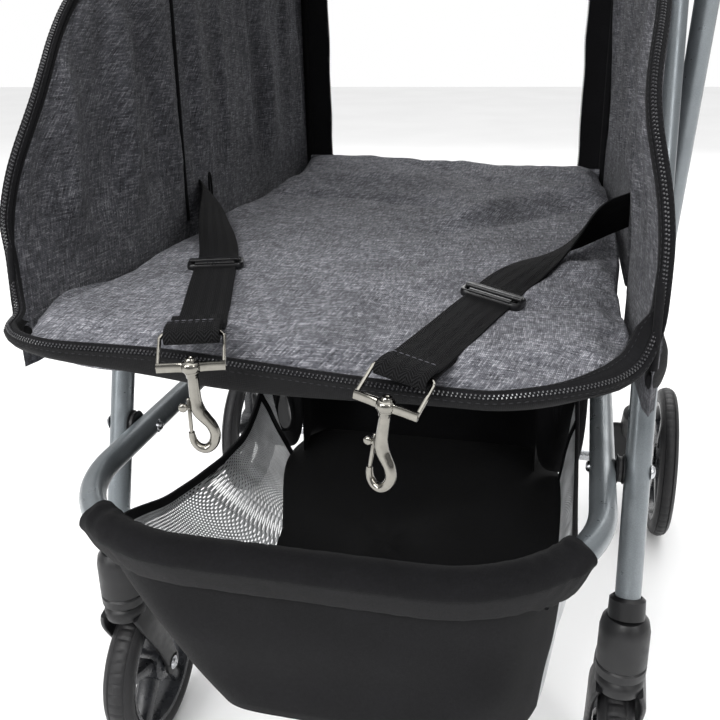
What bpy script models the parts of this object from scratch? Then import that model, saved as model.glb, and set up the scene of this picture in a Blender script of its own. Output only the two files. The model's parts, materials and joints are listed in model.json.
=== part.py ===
"""A folding pet stroller: four wheels, a fabric cabin with a hood, and a shopping basket.

Frame: +Z up, front towards -Y, +X to the right of someone who faces the cabin's open front.
The origin is the middle of the footprint, on the ground. Every "back" distance below runs
rearwards from the cabin's front edge, and at(x, back, z) turns it into a point.
"""
import math

import bmesh
import bpy
from mathutils import Matrix, Vector

# ---------------------------------------------------------------- driving dimensions (metres)
FRONT_Y = -0.35646         # y of the cabin's front edge
GAP = 0.0003               # gap between pieces that touch
TUBE_R = 0.008             # frame tubes
LEG_X = 0.1758             # centre plane of the front legs
LEG_BACK, LEG_AT_Z = 0.165, 0.30
LEG_LEAN = 0.32            # rearward lean of the front legs, metres per metre of height

HUB_Z = 0.620              # the side hubs, where handle, hood and rear legs turn
HUB_BACK = LEG_BACK + (HUB_Z - LEG_AT_Z) * LEG_LEAN
HUB_R = 0.030
HUB_IN, HUB_OUT = 0.1675, 0.1845
PIN_R = 0.004
REAR_LEG_X = 0.201
HANDLE_X = 0.219

AXLE_BACK, AXLE_Z = 0.5455, 0.080
REAR_WHEEL_X, REAR_WHEEL_W = 0.2350, 0.018
CASTER_Z0, CASTER_Z1 = 0.140, 0.185
CASTER_TRAIL = 0.028
FRONT_WHEEL_R, FRONT_WHEEL_W = 0.0625, 0.024
WHEEL_SECTORS = 30

BASKET_TUBE_X, BASKET_TUBE_Z = 0.1545, 0.272
BASKET_TUBE_FRONT = 0.012
BASKET_HALF, BASKET_FRONT, BASKET_REAR = 0.142, 0.019, 0.420
BASKET_FLOOR_Z, BASKET_WALL = 0.155, 0.003

RAIL_X, RAIL_Z, RAIL_R = 0.150, 0.3445, 0.007
CABIN_REAR = 0.549
BOARD_Z0, BOARD_Z1 = 0.3520, 0.3560
FLOOR_Z = 0.3905           # top of the floor cushion
WALL = 0.005               # cabin side fabric with its padding
EDGE_ROUND = 0.070         # plan radius of the floor's front corners
CUSHION_FRONT = -0.0020

HOOD_R, HOOD_HALF, HOOD_WALL = 0.290, 0.1655, 0.003
HOOD_REAR_DEG, HOOD_FRONT_DEG = 12.0, 128.0
BOW_R, BOW_HALF, BOW_REACH = 0.0035, 0.157, 0.280
MID_BOW_DEG = 72.0
ROLL_R = 0.013             # the rolled-up front and rear flaps

HANDLE_BEND = (0.600, 0.930)      # back, z of the bend in the handle's arms
HANDLE_TOP = (0.728, 0.983)       # back, z of the grip bar
GRIP_R = 0.0155

STRAP_W, STRAP_T = 0.025, 0.0016
EYE_R, EYE_HALF, EYE_LENGTH = 0.0013, 0.0145, 0.0190
EYE_DIP = 31.0                    # degrees the eye hangs below level
# side: (x, back, z of the eye's top bar), strap yaw, strap roll, slider's place, strap length
TETHERS = {
    "l": ((-0.0368, -0.0065, 0.4066), 18.8, 0.0, 0.154, 0.298),
    "r": ((0.0612, -0.0065, 0.3957), -13.5, -10.0, 0.113, 0.278),
}
SIDES = {"l": -1, "r": 1}


# ---------------------------------------------------------------- helpers
def at(x, back, z):
    return Vector((x, FRONT_Y + back, z))


def leg_back(z):
    return LEG_BACK + (z - LEG_AT_Z) * LEG_LEAN


def clear_scene():
    for obj in list(bpy.data.objects):
        bpy.data.objects.remove(obj, do_unlink=True)


def material(name, color, roughness, metallic=0.0):
    found = bpy.data.materials.get(name)
    if found:
        return found
    mat = bpy.data.materials.new(name)
    mat.use_nodes = True
    shader = mat.node_tree.nodes["Principled BSDF"]
    shader.inputs["Base Color"].default_value = (*color, 1.0)
    shader.inputs["Roughness"].default_value = roughness
    shader.inputs["Metallic"].default_value = metallic
    mat.diffuse_color = (*color, 1.0)
    return mat


def silver():
    return material("satin_silver", (0.42, 0.45, 0.49), 0.35, 0.8)


def steel():
    return material("bright_steel", (0.62, 0.62, 0.60), 0.20, 1.0)


def black_plastic():
    return material("black_plastic", (0.02, 0.02, 0.022), 0.5)


def wheel_plastic():
    return material("grey_plastic", (0.10, 0.105, 0.115), 0.45)


def rubber():
    return material("tyre_rubber", (0.025, 0.025, 0.027), 0.8)


def grey_fabric():
    return material("grey_fabric", (0.16, 0.16, 0.18), 0.95)


def black_fabric():
    return material("black_fabric", (0.012, 0.012, 0.014), 0.95)


def add(name, data, mat):
    obj = bpy.data.objects.new(name, data)
    bpy.context.scene.collection.objects.link(obj)
    data.materials.append(mat)
    return obj


def solid(name, points, faces, mat, smooth=True):
    """A closed mesh from points and faces, turned outwards."""
    mesh = bpy.data.meshes.new(name)
    bm = bmesh.new()
    verts = [bm.verts.new(p) for p in points]
    for face in faces:
        bm.faces.new([verts[i] for i in face])
    bmesh.ops.recalc_face_normals(bm, faces=bm.faces)
    bm.to_mesh(mesh)
    bm.free()
    if smooth:
        mesh.shade_smooth()
        mesh.set_sharp_from_angle(angle=math.radians(40))
    return add(name, mesh, mat)


def tube(name, points, radius, mat, cyclic=False, resolution=4):
    """A round bar along the points, with closed ends."""
    curve = bpy.data.curves.new(name, "CURVE")
    curve.dimensions = "3D"
    curve.bevel_depth = radius
    curve.bevel_resolution = resolution
    curve.use_fill_caps = True
    curve.render_resolution_u = 0
    spline = curve.splines.new("POLY")
    spline.points.add(len(points) - 1)
    for slot, point in zip(spline.points, points):
        slot.co = (*point, 1.0)
    spline.use_cyclic_u = cyclic
    spline.use_smooth = True
    return add(name, curve, mat)


def rounded(points, radius, steps=5, cyclic=False):
    """The points with every inner corner turned into an arc of the given radius."""
    points = [Vector(p) for p in points]
    count = len(points)
    result = []
    for i, corner in enumerate(points):
        if not cyclic and i in (0, count - 1):
            result.append(corner)
            continue
        before = (points[i - 1] - corner).normalized()
        after = (points[(i + 1) % count] - corner).normalized()
        half = before.angle(after) / 2
        reach = radius / math.tan(half)
        centre = corner + (before + after).normalized() * (radius / math.sin(half))
        start = corner + before * reach - centre
        end = corner + after * reach - centre
        turn = start.angle(end)
        for k in range(steps + 1):
            f = k / steps
            arm = (start * math.sin((1 - f) * turn) + end * math.sin(f * turn)) / math.sin(turn)
            result.append(centre + arm)
    return result


def lathe(name, profile, centre, axis, mat, steps=24, ring=False, phase=0.5):
    """Turn (radius, distance along axis) pairs; a ring closes on itself and has a bore."""
    axis = Vector(axis).normalized()
    side = Vector((0, 0, -1)) if abs(axis.z) < 0.9 else Vector((0, -1, 0))
    other = axis.cross(side).normalized()
    side = other.cross(axis)
    points, loops = [], []
    for radius, along in profile:
        if radius == 0.0:
            loops.append([len(points)] * steps)
            points.append(centre + axis * along)
            continue
        loops.append(list(range(len(points), len(points) + steps)))
        for k in range(steps):
            turn = 2 * math.pi * (k + phase) / steps
            arm = side * math.cos(turn) + other * math.sin(turn)
            points.append(centre + axis * along + arm * radius)
    if ring:
        loops.append(loops[0])
    faces = []
    for low, high in zip(loops, loops[1:]):
        for k in range(steps):
            n = (k + 1) % steps
            corners = [low[k], low[n], high[n], high[k]]
            faces.append(list(dict.fromkeys(corners)))
    return solid(name, points, faces, mat)


def stacked(name, rings, mat, smooth=True):
    """Loft closed rings of equal length and cap both ends."""
    size = len(rings[0])
    points = [p for ring in rings for p in ring]
    faces = [list(range(size)), list(range((len(rings) - 1) * size, len(rings) * size))]
    for level in range(len(rings) - 1):
        low, high = level * size, (level + 1) * size
        for k in range(size):
            n = (k + 1) % size
            faces.append([low + k, low + n, high + n, high + k])
    return solid(name, points, faces, mat, smooth)


def shell(name, outer, inner, mat):
    """A thick sheet between two grids of points with the same rows and columns."""
    rows, cols = len(outer), len(outer[0])
    points = [p for grid in (outer, inner) for row in grid for p in row]
    base = rows * cols
    faces = []
    for offset in (0, base):
        for r in range(rows - 1):
            for c in range(cols - 1):
                k = offset + r * cols + c
                faces.append([k, k + 1, k + cols + 1, k + cols])
    rim = [c for c in range(cols)]
    rim += [r * cols + cols - 1 for r in range(1, rows)]
    rim += [(rows - 1) * cols + c for c in range(cols - 2, -1, -1)]
    rim += [r * cols for r in range(rows - 2, 0, -1)]
    for a, b in zip(rim, rim[1:] + rim[:1]):
        faces.append([a, b, base + b, base + a])
    return solid(name, points, faces, mat)


def boolean(obj, other, operation):
    """Cut or join obj with a helper object, which stays hidden."""
    other.hide_render = True
    other.display_type = "WIRE"
    mod = obj.modifiers.new(operation.lower(), "BOOLEAN")
    mod.operation = operation
    mod.object = other
    mod.solver = "EXACT"
    return obj


def ribbon(name, path, across, width, thickness, mat):
    """A flat strap: path points with one crosswise direction for the whole strap."""
    across = Vector(across).normalized()
    rings = []
    for i, point in enumerate(path):
        before = path[max(i - 1, 0)]
        after = path[min(i + 1, len(path) - 1)]
        normal = across.cross(after - before).normalized()
        wide, thick = across * (width / 2), normal * (thickness / 2)
        rings.append([point + wide * a + thick * b for a, b in ((-1, -1), (1, -1), (1, 1), (-1, 1))])
    return stacked(name, rings, mat)


# ---------------------------------------------------------------- chassis
def front_legs():
    for side, sign in SIDES.items():
        low_z = CASTER_Z1 + 0.0031
        top = HUB_R + 0.0006
        length = math.hypot(1, LEG_LEAN)
        high_z = HUB_Z - top / length
        ends = [at(sign * LEG_X, leg_back(z), z) for z in (low_z, high_z)]
        tube(f"front_leg_{side}", ends, TUBE_R, silver())


def side_hubs():
    """Fixed hub on each front leg, with the pin that carries the rear leg and the handle."""
    for side, sign in SIDES.items():
        centre = at(0, HUB_BACK, HUB_Z)
        profile = [
            (0.0, HUB_IN), (HUB_R - 0.002, HUB_IN), (HUB_R, HUB_IN + 0.002), (HUB_R, HUB_OUT - 0.002),
            (HUB_R - 0.002, HUB_OUT), (0.011, HUB_OUT), (0.011, 0.1925), (PIN_R, 0.1925),
            (PIN_R, 0.2180), (0.0, 0.2180),
        ]
        lathe(f"side_hub_{side}", profile, centre, (sign, 0, 0), black_plastic())


def seat_frame():
    """Two rails and two cross tubes under the cabin, and a strut from each hub."""
    front, rear = 0.120, 0.530
    for side, sign in SIDES.items():
        ends = [at(sign * RAIL_X, front, RAIL_Z), at(sign * RAIL_X, rear, RAIL_Z)]
        tube(f"seat_rail_{side}", ends, RAIL_R, silver())
        foot = (0.460, 0.350)
        run = Vector((foot[0] - HUB_BACK, foot[1] - HUB_Z))
        start = run.normalized() * (HUB_R + 0.0005)
        ends = [at(sign * LEG_X, HUB_BACK + start.x, HUB_Z + start.y), at(sign * LEG_X, *foot)]
        tube(f"rear_strut_{side}", ends, 0.006, silver())
    inner = RAIL_X - RAIL_R - GAP
    for name, back in (("seat_cross_front", 0.135), ("seat_cross_rear", 0.500)):
        tube(name, [at(-inner, back, RAIL_Z), at(inner, back, RAIL_Z)], 0.006, silver())


def basket_frame():
    """A U tube round the basket's front, held off each front leg by a spacer."""
    rear = 0.430
    x, z = BASKET_TUBE_X, BASKET_TUBE_Z
    outline = [at(-x, rear, z), at(-x, BASKET_TUBE_FRONT, z), at(x, BASKET_TUBE_FRONT, z), at(x, rear, z)]
    tube("basket_tube", rounded(outline, 0.090, 8), TUBE_R, silver())
    for side, sign in SIDES.items():
        profile = [(0.0, x + TUBE_R + GAP), (0.009, x + TUBE_R + GAP)]
        profile += [(0.009, LEG_X - TUBE_R - GAP), (0.0, LEG_X - TUBE_R - GAP)]
        lathe(f"leg_spacer_{side}", profile, at(0, leg_back(z), z), (sign, 0, 0), black_plastic(), 16)


def wheel_hub(name, centre, radius, width, bore):
    """A spoked wheel: bored hub, five spokes and a rim, on a grid of rings and sectors."""
    radii = [bore, radius * 0.30, radius * 0.66, radius * 0.80]
    offsets = [width * 0.50, width * 0.50, width * 0.34, width * 0.44]
    count = WHEEL_SECTORS
    points = []
    for face in (-1, 1):
        for ring, offset in zip(radii, offsets):
            for k in range(count):
                turn = 2 * math.pi * (k + 0.5) / count
                spoke = Vector((face * offset, ring * math.sin(turn), -ring * math.cos(turn)))
                points.append(centre + spoke)

    def index(face, ring, sector):
        return (face * len(radii) + ring) * count + sector % count

    def present(ring, sector):
        return 0 <= ring < len(radii) - 1 and (ring != 1 or sector % (count // 5) < 2)

    faces = []
    for ring in range(len(radii) - 1):
        for k in range(count):
            if not present(ring, k):
                continue
            for face in (0, 1):
                corners = ((ring, k), (ring, k + 1), (ring + 1, k + 1), (ring + 1, k))
                faces.append([index(face, *corner) for corner in corners])
            edges = (
                (present(ring - 1, k), (ring, k), (ring, k + 1)),
                (present(ring + 1, k), (ring + 1, k), (ring + 1, k + 1)),
                (present(ring, (k - 1) % count), (ring, k), (ring + 1, k)),
                (present(ring, (k + 1) % count), (ring, k + 1), (ring + 1, k + 1)),
            )
            for shared, a, b in edges:
                if not shared:
                    faces.append([index(0, *a), index(0, *b), index(1, *b), index(1, *a)])
    return solid(name, points, faces, wheel_plastic())


def tyre(name, centre, radius, width):
    """A tyre whose lowest flat facet is the surface it rests on."""
    corner = radius / math.cos(math.pi / WHEEL_SECTORS)
    inner = radius * 0.80 + GAP * 1.5
    half = width / 2
    profile = [
        (inner, half), (corner * 0.93, half), (corner, half * 0.60),
        (corner, -half * 0.60), (corner * 0.93, -half), (inner, -half),
    ]
    lathe(name, profile, centre, (1, 0, 0), rubber(), WHEEL_SECTORS, ring=True)


def rear_legs():
    """The rear legs turn on the hub pins; the axle joins them under the basket."""
    hub = Vector((HUB_BACK, HUB_Z))
    axle = Vector((AXLE_BACK, AXLE_Z))
    along = (axle - hub).normalized()
    for side, sign in SIDES.items():
        top = hub + along * 0.010
        foot = axle - along * 0.0615
        x = sign * REAR_LEG_X
        start, end = at(x, *top), at(x, *foot)
        length = (end - start).length
        profile = [(0.0, 0.0), (TUBE_R, 0.0), (TUBE_R, length), (0.0, length)]
        leg = lathe(f"rear_leg_{side}", profile, start, end - start, silver(), 14)
        eye = lathe(
            f"rear_leg_eye_{side}",
            [(0.0, REAR_LEG_X - 0.0078), (0.015, REAR_LEG_X - 0.0078), (0.015, REAR_LEG_X + 0.0078),
             (0.0, REAR_LEG_X + 0.0078)],
            at(0, *hub), (sign, 0, 0), silver(), 24,
        )
        bore = lathe(
            f"rear_leg_bore_{side}",
            [(0.0, 0.18), (PIN_R + GAP, 0.18), (PIN_R + GAP, 0.22), (0.0, 0.22)],
            at(0, *hub), (sign, 0, 0), silver(), 24,
        )
        boolean(boolean(leg, eye, "UNION"), bore, "DIFFERENCE")
        bracket(side, sign, axle, along)
    half = [
        (0.007, 0.1775), (PIN_R, 0.1775), (PIN_R, 0.2445), (0.009, 0.2445), (0.009, 0.2475),
        (0.006, 0.2500), (0.0, 0.2500),
    ]
    shaft = [(radius, -x) for radius, x in reversed(half)] + half
    lathe("rear_axle", shaft, at(0, *axle), (1, 0, 0), steel(), 20)


def bracket(side, sign, axle, along):
    """Plastic foot that joins the leg tube to the axle."""
    normal = Vector((-along.y, along.x))
    outline = []
    for k in range(13):
        turn = math.pi * k / 12
        outline.append(axle + normal * (0.019 * math.cos(turn)) + along * (0.019 * math.sin(turn)))
    outline.append(axle - normal * 0.0135 - along * 0.061)
    outline.append(axle + normal * 0.0135 - along * 0.061)
    rings = [[at(sign * x, *p) for p in outline] for x in (0.1785, 0.2225)]
    foot = stacked(f"wheel_bracket_{side}", rings, black_plastic())
    profile = [(0.0, 0.17), (PIN_R + GAP, 0.17), (PIN_R + GAP, 0.24), (0.0, 0.24)]
    bore = lathe(f"wheel_bracket_bore_{side}", profile, at(0, *axle), (sign, 0, 0), steel(), 20)
    boolean(foot, bore, "DIFFERENCE")


def brake_pedals():
    """A pedal on the rear of each foot: a barrel on the hinge line and a tread plate."""
    for side, sign in SIDES.items():
        back, z = AXLE_BACK + 0.0300, AXLE_Z + 0.012
        outline = []
        for k in range(9):
            turn = math.radians(20 + 320 * k / 8)
            outline.append((back + 0.006 * math.cos(turn), z + 0.006 * math.sin(turn)))
        outline += [(back + 0.036, z - 0.010), (back + 0.036, z - 0.006)]
        rings = [[at(sign * x, *p) for p in outline] for x in (0.1860, 0.2215)]
        stacked(f"brake_pedal_{side}", rings, black_plastic())


def rear_wheels():
    for side, sign in SIDES.items():
        centre = at(sign * REAR_WHEEL_X, AXLE_BACK, AXLE_Z)
        wheel_hub(f"rear_rim_{side}", centre, AXLE_Z, REAR_WHEEL_W, PIN_R + GAP)
        tyre(f"rear_tyre_{side}", centre, AXLE_Z, REAR_WHEEL_W)


def front_casters():
    """Housing on the leg, fork that swivels in it, wheel that spins in the fork."""
    back = leg_back(CASTER_Z1)
    fork_half, blade = FRONT_WHEEL_W / 2 + 0.0022, 0.0035
    for side, sign in SIDES.items():
        x = sign * LEG_X
        stem_r = 0.005
        profile = [
            (0.0, CASTER_Z0 + 0.0355), (stem_r + GAP, CASTER_Z0 + 0.0355), (stem_r + GAP, CASTER_Z0),
            (0.014, CASTER_Z0), (0.016, CASTER_Z0 + 0.003), (0.016, CASTER_Z1 - 0.003), (0.013, CASTER_Z1),
            (0.0, CASTER_Z1),
        ]
        lathe(f"caster_housing_{side}", profile, at(x, back, 0), (0, 0, 1), black_plastic(), 24)
        crown_z, axle_back = 0.1397, back + CASTER_TRAIL
        foot_z, yoke_z = 0.052, 0.1295
        outer = fork_half + blade
        section = [(outer, crown_z), (outer, foot_z), (fork_half, foot_z), (fork_half, yoke_z)]
        section += [(-dx, z) for dx, z in reversed(section)]
        rings = []
        for edge in (-1, 1):
            ring = []
            for dx, z in section:
                down = (crown_z - z) / (crown_z - foot_z)
                width = 0.014 - 0.006 * down
                ring.append(at(x + dx, back + CASTER_TRAIL * down * 1.13 + edge * width, z))
            rings.append(ring)
        fork = stacked(f"caster_fork_{side}", rings, black_plastic(), smooth=False)
        low, high = crown_z - 0.004, CASTER_Z0 + 0.034
        stem = [(0.0, low), (stem_r, low), (stem_r, high), (0.0, high)]
        boolean(fork, lathe(f"caster_stem_{side}", stem, at(x, back, 0), (0, 0, 1), steel(), 24), "UNION")
        reach = outer + 0.002
        pin = [(0.0, -reach), (PIN_R, -reach), (PIN_R, reach), (0.0, reach)]
        centre = at(x, axle_back, FRONT_WHEEL_R)
        boolean(fork, lathe(f"caster_pin_{side}", pin, centre, (1, 0, 0), steel(), 20), "UNION")
        wheel_hub(f"front_rim_{side}", centre, FRONT_WHEEL_R, FRONT_WHEEL_W, PIN_R + GAP)
        tyre(f"front_tyre_{side}", centre, FRONT_WHEEL_R, FRONT_WHEEL_W)


# ---------------------------------------------------------------- handle
def handle():
    direction = Vector((HANDLE_BEND[0] - HUB_BACK, HANDLE_BEND[1] - HUB_Z)).normalized()
    start = Vector((HUB_BACK, HUB_Z)) + direction * (HUB_R + 0.0005)
    x = HANDLE_X
    outline = [at(-x, *start), at(-x, *HANDLE_BEND), at(-x, *HANDLE_TOP)]
    outline += [at(x, *HANDLE_TOP), at(x, *HANDLE_BEND), at(x, *start)]
    tube("handle_tube", rounded(outline, 0.055, 6), TUBE_R, silver())
    half = 0.135
    profile = [
        (TUBE_R + GAP, -half), (GRIP_R - 0.002, -half), (GRIP_R, 0.004 - half),
        (GRIP_R, half - 0.004), (GRIP_R - 0.002, half), (TUBE_R + GAP, half),
    ]
    lathe("handle_grip", profile, at(0, *HANDLE_TOP), (1, 0, 0), rubber(), 20, ring=True)
    inner, outer = 0.2105, 0.2275
    for side, sign in SIDES.items():
        centre = at(0, HUB_BACK, HUB_Z)
        profile = [
            (PIN_R + GAP, inner), (HUB_R - 0.002, inner), (HUB_R, inner + 0.002), (HUB_R, outer - 0.003),
            (HUB_R - 0.003, outer), (0.0165, outer), (0.0165, 0.2185), (PIN_R + GAP, 0.2185),
        ]
        lathe(f"handle_hub_{side}", profile, centre, (sign, 0, 0), black_plastic(), 24, ring=True)
        button = [(0.0, 0.2230), (0.0160, 0.2230), (0.0160, 0.2300), (0.0130, 0.2315), (0.0, 0.2315)]
        lathe(f"lock_button_{side}", button, centre, (sign, 0, 0), wheel_plastic(), 24)


# ---------------------------------------------------------------- cabin
def cabin_half(back):
    """Half the cabin's inner width: widest at the open front, narrower to the rear."""
    narrowing = 0.010 * min(max((back - 0.02) / 0.16, 0.0), 1.0)
    return 0.168 - narrowing - 0.008 * min(max((back - 0.25) / 0.30, 0.0), 1.0)


def floor_outline(front, rear, inset):
    """Plan of the floor: straight rear, tapering sides, bowed front with round corners."""
    outline = []
    for back in (rear, rear * 0.75, rear * 0.5, rear * 0.33):
        outline.append((cabin_half(back) - inset, back))
    width = cabin_half(0.08) - inset
    for k in range(9):
        turn = math.pi / 2 * k / 8
        x = width - EDGE_ROUND + EDGE_ROUND * math.cos(turn)
        outline.append((x, front + EDGE_ROUND * 1.1 * (1 - math.sin(turn)) + 0.004 * (x / width) ** 2))
    outline.append((0.045, front + 0.0003))
    return outline + [(-x, back) for x, back in reversed(outline)]


def wall_front(z):
    """Back distance of a side wall's front and top edge at a height."""
    low, high = 0.3570, HUB_Z - 0.006
    if z <= high:
        f = (z - low) / (high - low)
        return 0.050 + (HUB_BACK - 0.050) * f ** 3
    return HUB_BACK + (z - high) / math.tan(math.radians(HOOD_REAR_DEG))


def cabin():
    board = floor_outline(0.004, CABIN_REAR - 0.004, 0.003)
    stacked("floor_board", [[at(*p, z) for p in board] for z in (BOARD_Z0, BOARD_Z1)], black_plastic(), False)
    plans = [(0.004, BOARD_Z1 + GAP), (0.0, 0.3640), (0.0, 0.3840), (0.005, FLOOR_Z)]
    rings = []
    for inset, z in plans:
        outline = floor_outline(CUSHION_FRONT + inset, CABIN_REAR - inset, 0.0008 + inset)
        rings.append([at(*p, z) for p in outline])
    stacked("floor_cushion", rings, grey_fabric())
    heights = [0.3570, 0.400, 0.450, 0.500, 0.550, HUB_Z - 0.006, HUB_Z + 0.025, 0.6665]
    columns = 9
    for side, sign in SIDES.items():
        grids = []
        for extra in (WALL, 0.0):
            grid = []
            for z in heights:
                start, row = wall_front(z), []
                for c in range(columns):
                    back = start + (CABIN_REAR - start) * c / (columns - 1)
                    row.append(at(sign * (cabin_half(back) + extra), back, z))
                grid.append(row)
            grids.append(grid)
        shell(f"cabin_side_{side}", *grids, grey_fabric())
    front_band()
    zip_line()


def front_edge(front, inset, last_back):
    """Floor outline from the left corner round the front to the right corner."""
    points = [p for p in floor_outline(front, CABIN_REAR, inset) if p[1] < last_back]
    return sorted(points, key=lambda p: p[0])


def front_band():
    """Smooth bumper band below the zip."""
    inner = front_edge(CUSHION_FRONT, 0.0003, 0.045)
    outer = front_edge(CUSHION_FRONT - 0.0062, -0.0065, 0.045)
    count = min(len(inner), len(outer))
    inner, outer = inner[:count], outer[:count]
    heights = (0.3725, 0.3790, 0.3850)
    grids = [[[at(x, back, z) for x, back in edge] for z in heights] for edge in (outer, inner)]
    shell("front_band", *grids, black_fabric())


def zip_line():
    """Zip round the cabin's opening: up the left wall's edge, round the floor, up the right."""
    front = [(x, back, FLOOR_Z - 0.0025) for x, back in front_edge(CUSHION_FRONT - 0.004, -0.0035, 0.040)]
    climb = []
    for z in (0.400, 0.425, 0.450, 0.475, 0.500, 0.525, 0.545, 0.560, 0.575, 0.588, 0.600):
        slope = (wall_front(z + 0.001) - wall_front(z - 0.001)) / 0.002
        away = Vector((-1.0, slope)).normalized() * 0.0045
        back = wall_front(z) + away.x
        climb.append((cabin_half(back) + 0.0025, back, z + away.y))
    left = [(-x, back, z) for x, back, z in reversed(climb)]
    tube("front_zip", [at(*p) for p in left + front + climb], 0.0022, black_plastic(), resolution=1)


def bow_path(angle_deg, half, reach, start_deg=2.5, steps=16, power=0.62):
    """A U-shaped bow over the cabin, turned up about the hub axis by angle_deg."""
    angle = math.radians(angle_deg)
    points = []
    for k in range(steps + 1):
        turn = math.radians(start_deg + (180 - 2 * start_deg) * k / steps)
        x = half * math.copysign(abs(math.cos(turn)) ** power, math.cos(turn))
        radius = reach * abs(math.sin(turn)) ** power
        points.append(at(x, HUB_BACK + radius * math.cos(angle), HUB_Z + radius * math.sin(angle)))
    return points


def hood():
    angles = [HOOD_REAR_DEG + (HOOD_FRONT_DEG - HOOD_REAR_DEG) * k / 8 for k in range(9)]
    outer = [bow_path(a, HOOD_HALF, HOOD_R) for a in angles]
    inner = [bow_path(a, HOOD_HALF - HOOD_WALL, HOOD_R - HOOD_WALL) for a in angles]
    shell("canopy", outer, inner, grey_fabric())
    for name, angle in (("front_bow", HOOD_FRONT_DEG - 3.0), ("mid_bow", MID_BOW_DEG)):
        tube(name, bow_path(angle, BOW_HALF, BOW_REACH, 1.0), BOW_R, black_plastic(), resolution=2)
    for name, angle in (("front_flap_roll", HOOD_FRONT_DEG - 4.0), ("rear_flap_roll", HOOD_REAR_DEG + 4.0)):
        lift = ROLL_R + 0.0015
        path = bow_path(angle, HOOD_HALF + lift, HOOD_R + lift, 40.0, 12)
        tube(name, path, ROLL_R, grey_fabric(), resolution=2)


# ---------------------------------------------------------------- basket
def basket_rim(back):
    """Height of the basket's rim: hem at the front, sagging sides, high rear panel."""
    stations = (
        (0.0, 0.262), (0.05, 0.250), (0.18, 0.222), (0.29, 0.205), (0.35, 0.225), (0.42, 0.325), (1.0, 0.325),
    )
    for (b0, z0), (b1, z1) in zip(stations, stations[1:]):
        if back <= b1:
            return z0 + (z1 - z0) * (back - b0) / (b1 - b0)
    return stations[-1][1]


def basket_ring(inset, level):
    """One ring of the tub: level 1 is the rim, level 0 the floor."""
    draw = 0.022 * (1 - level)
    half = BASKET_HALF - inset - draw
    front, rear, corner = BASKET_FRONT + inset + draw, BASKET_REAR - inset - draw, 0.045
    ring = []
    for cx, cb, first in ((1, 1, 0), (-1, 1, 90), (-1, -1, 180), (1, -1, 270)):
        for k in range(5):
            turn = math.radians(first + 90 * k / 4)
            middle = (rear - corner) if cb > 0 else (front + corner)
            ring.append((cx * (half - corner) + corner * math.cos(turn), middle + corner * math.sin(turn)))
    result = []
    for i, (x, back) in enumerate(ring):
        result.append((x, back))
        nx, nb = ring[(i + 1) % len(ring)]
        if abs(nb - back) > 0.1:
            result += [(x + (nx - x) * f, back + (nb - back) * f) for f in (0.2, 0.4, 0.6, 0.8)]
        elif abs(nx - x) > 0.1:
            result += [(x + (nx - x) * f, back) for f in (0.33, 0.67)]
    floor_z = BASKET_FLOOR_Z + inset
    return [at(x, back, floor_z + (basket_rim(back) - floor_z) * level) for x, back in result]


def basket():
    levels = (0.0, 0.35, 1.0)
    outer = [basket_ring(0.0, level) for level in levels]
    inner = [basket_ring(BASKET_WALL, level) for level in reversed(levels)]
    stacked("basket", outer + inner, black_fabric())


# ---------------------------------------------------------------- tethers
def tether_frame(side):
    """World matrix of a tether's end: X across the strap, -Y along it to the front."""
    place, yaw, roll = TETHERS[side][:3]
    turn = Matrix.Rotation(math.radians(yaw), 4, "Z") @ Matrix.Rotation(math.radians(-roll), 4, "Y")
    return Matrix.Translation(at(*place)) @ turn


def hook_top():
    dip = math.radians(EYE_DIP)
    return Vector((0, -EYE_LENGTH * math.cos(dip), -EYE_LENGTH * math.sin(dip) - EYE_R - GAP))


def tethers():
    dip = math.radians(EYE_DIP)
    across = Vector((1, 0, 0))
    for side in SIDES:
        frame = tether_frame(side)
        empty = bpy.data.objects.new(f"tether_end_{side}", None)
        bpy.context.scene.collection.objects.link(empty)
        empty.matrix_world = frame
        rest = FLOOR_Z + 0.0062 - TETHERS[side][0][2]
        loop = EYE_R + 0.0004 + STRAP_T / 2
        path = [Vector((0, y, rest)) for y in (TETHERS[side][4], 0.2, 0.06)]
        path += [Vector((0, 0.025, loop - 0.003)), Vector((0, 0.010, loop - 0.0004))]
        for k in range(9):
            turn = math.radians(90 + 230 * k / 8)
            path.append(Vector((0, loop * math.cos(turn), loop * math.sin(turn))))
        strap = ribbon(f"tether_strap_{side}", path, across, STRAP_W, STRAP_T, black_fabric())
        eye_end = Vector((0, -EYE_LENGTH * math.cos(dip), -EYE_LENGTH * math.sin(dip)))
        wide = across * EYE_HALF
        corners = [-wide, wide, wide + eye_end, eye_end - wide]
        eye = tube(f"hook_eye_{side}", rounded(corners, 0.0025, 3, True), EYE_R, steel(), True, 2)
        slide = Vector((0, TETHERS[side][3], rest))
        half, rise = STRAP_W / 2 + 0.0018, 0.0024
        signs = ((-1, -1), (1, -1), (1, 1), (-1, 1))
        corners = [slide + Vector((a * half, 0, b * rise)) for a, b in signs]
        outline = rounded(corners, 0.0010, 2, True)
        slider = tube(f"strap_slider_{side}", outline, EYE_R, black_plastic(), True, 2)
        hook, trigger = snap_hook(side)
        for piece in (strap, eye, slider, hook, trigger):
            piece.parent = empty


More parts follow.
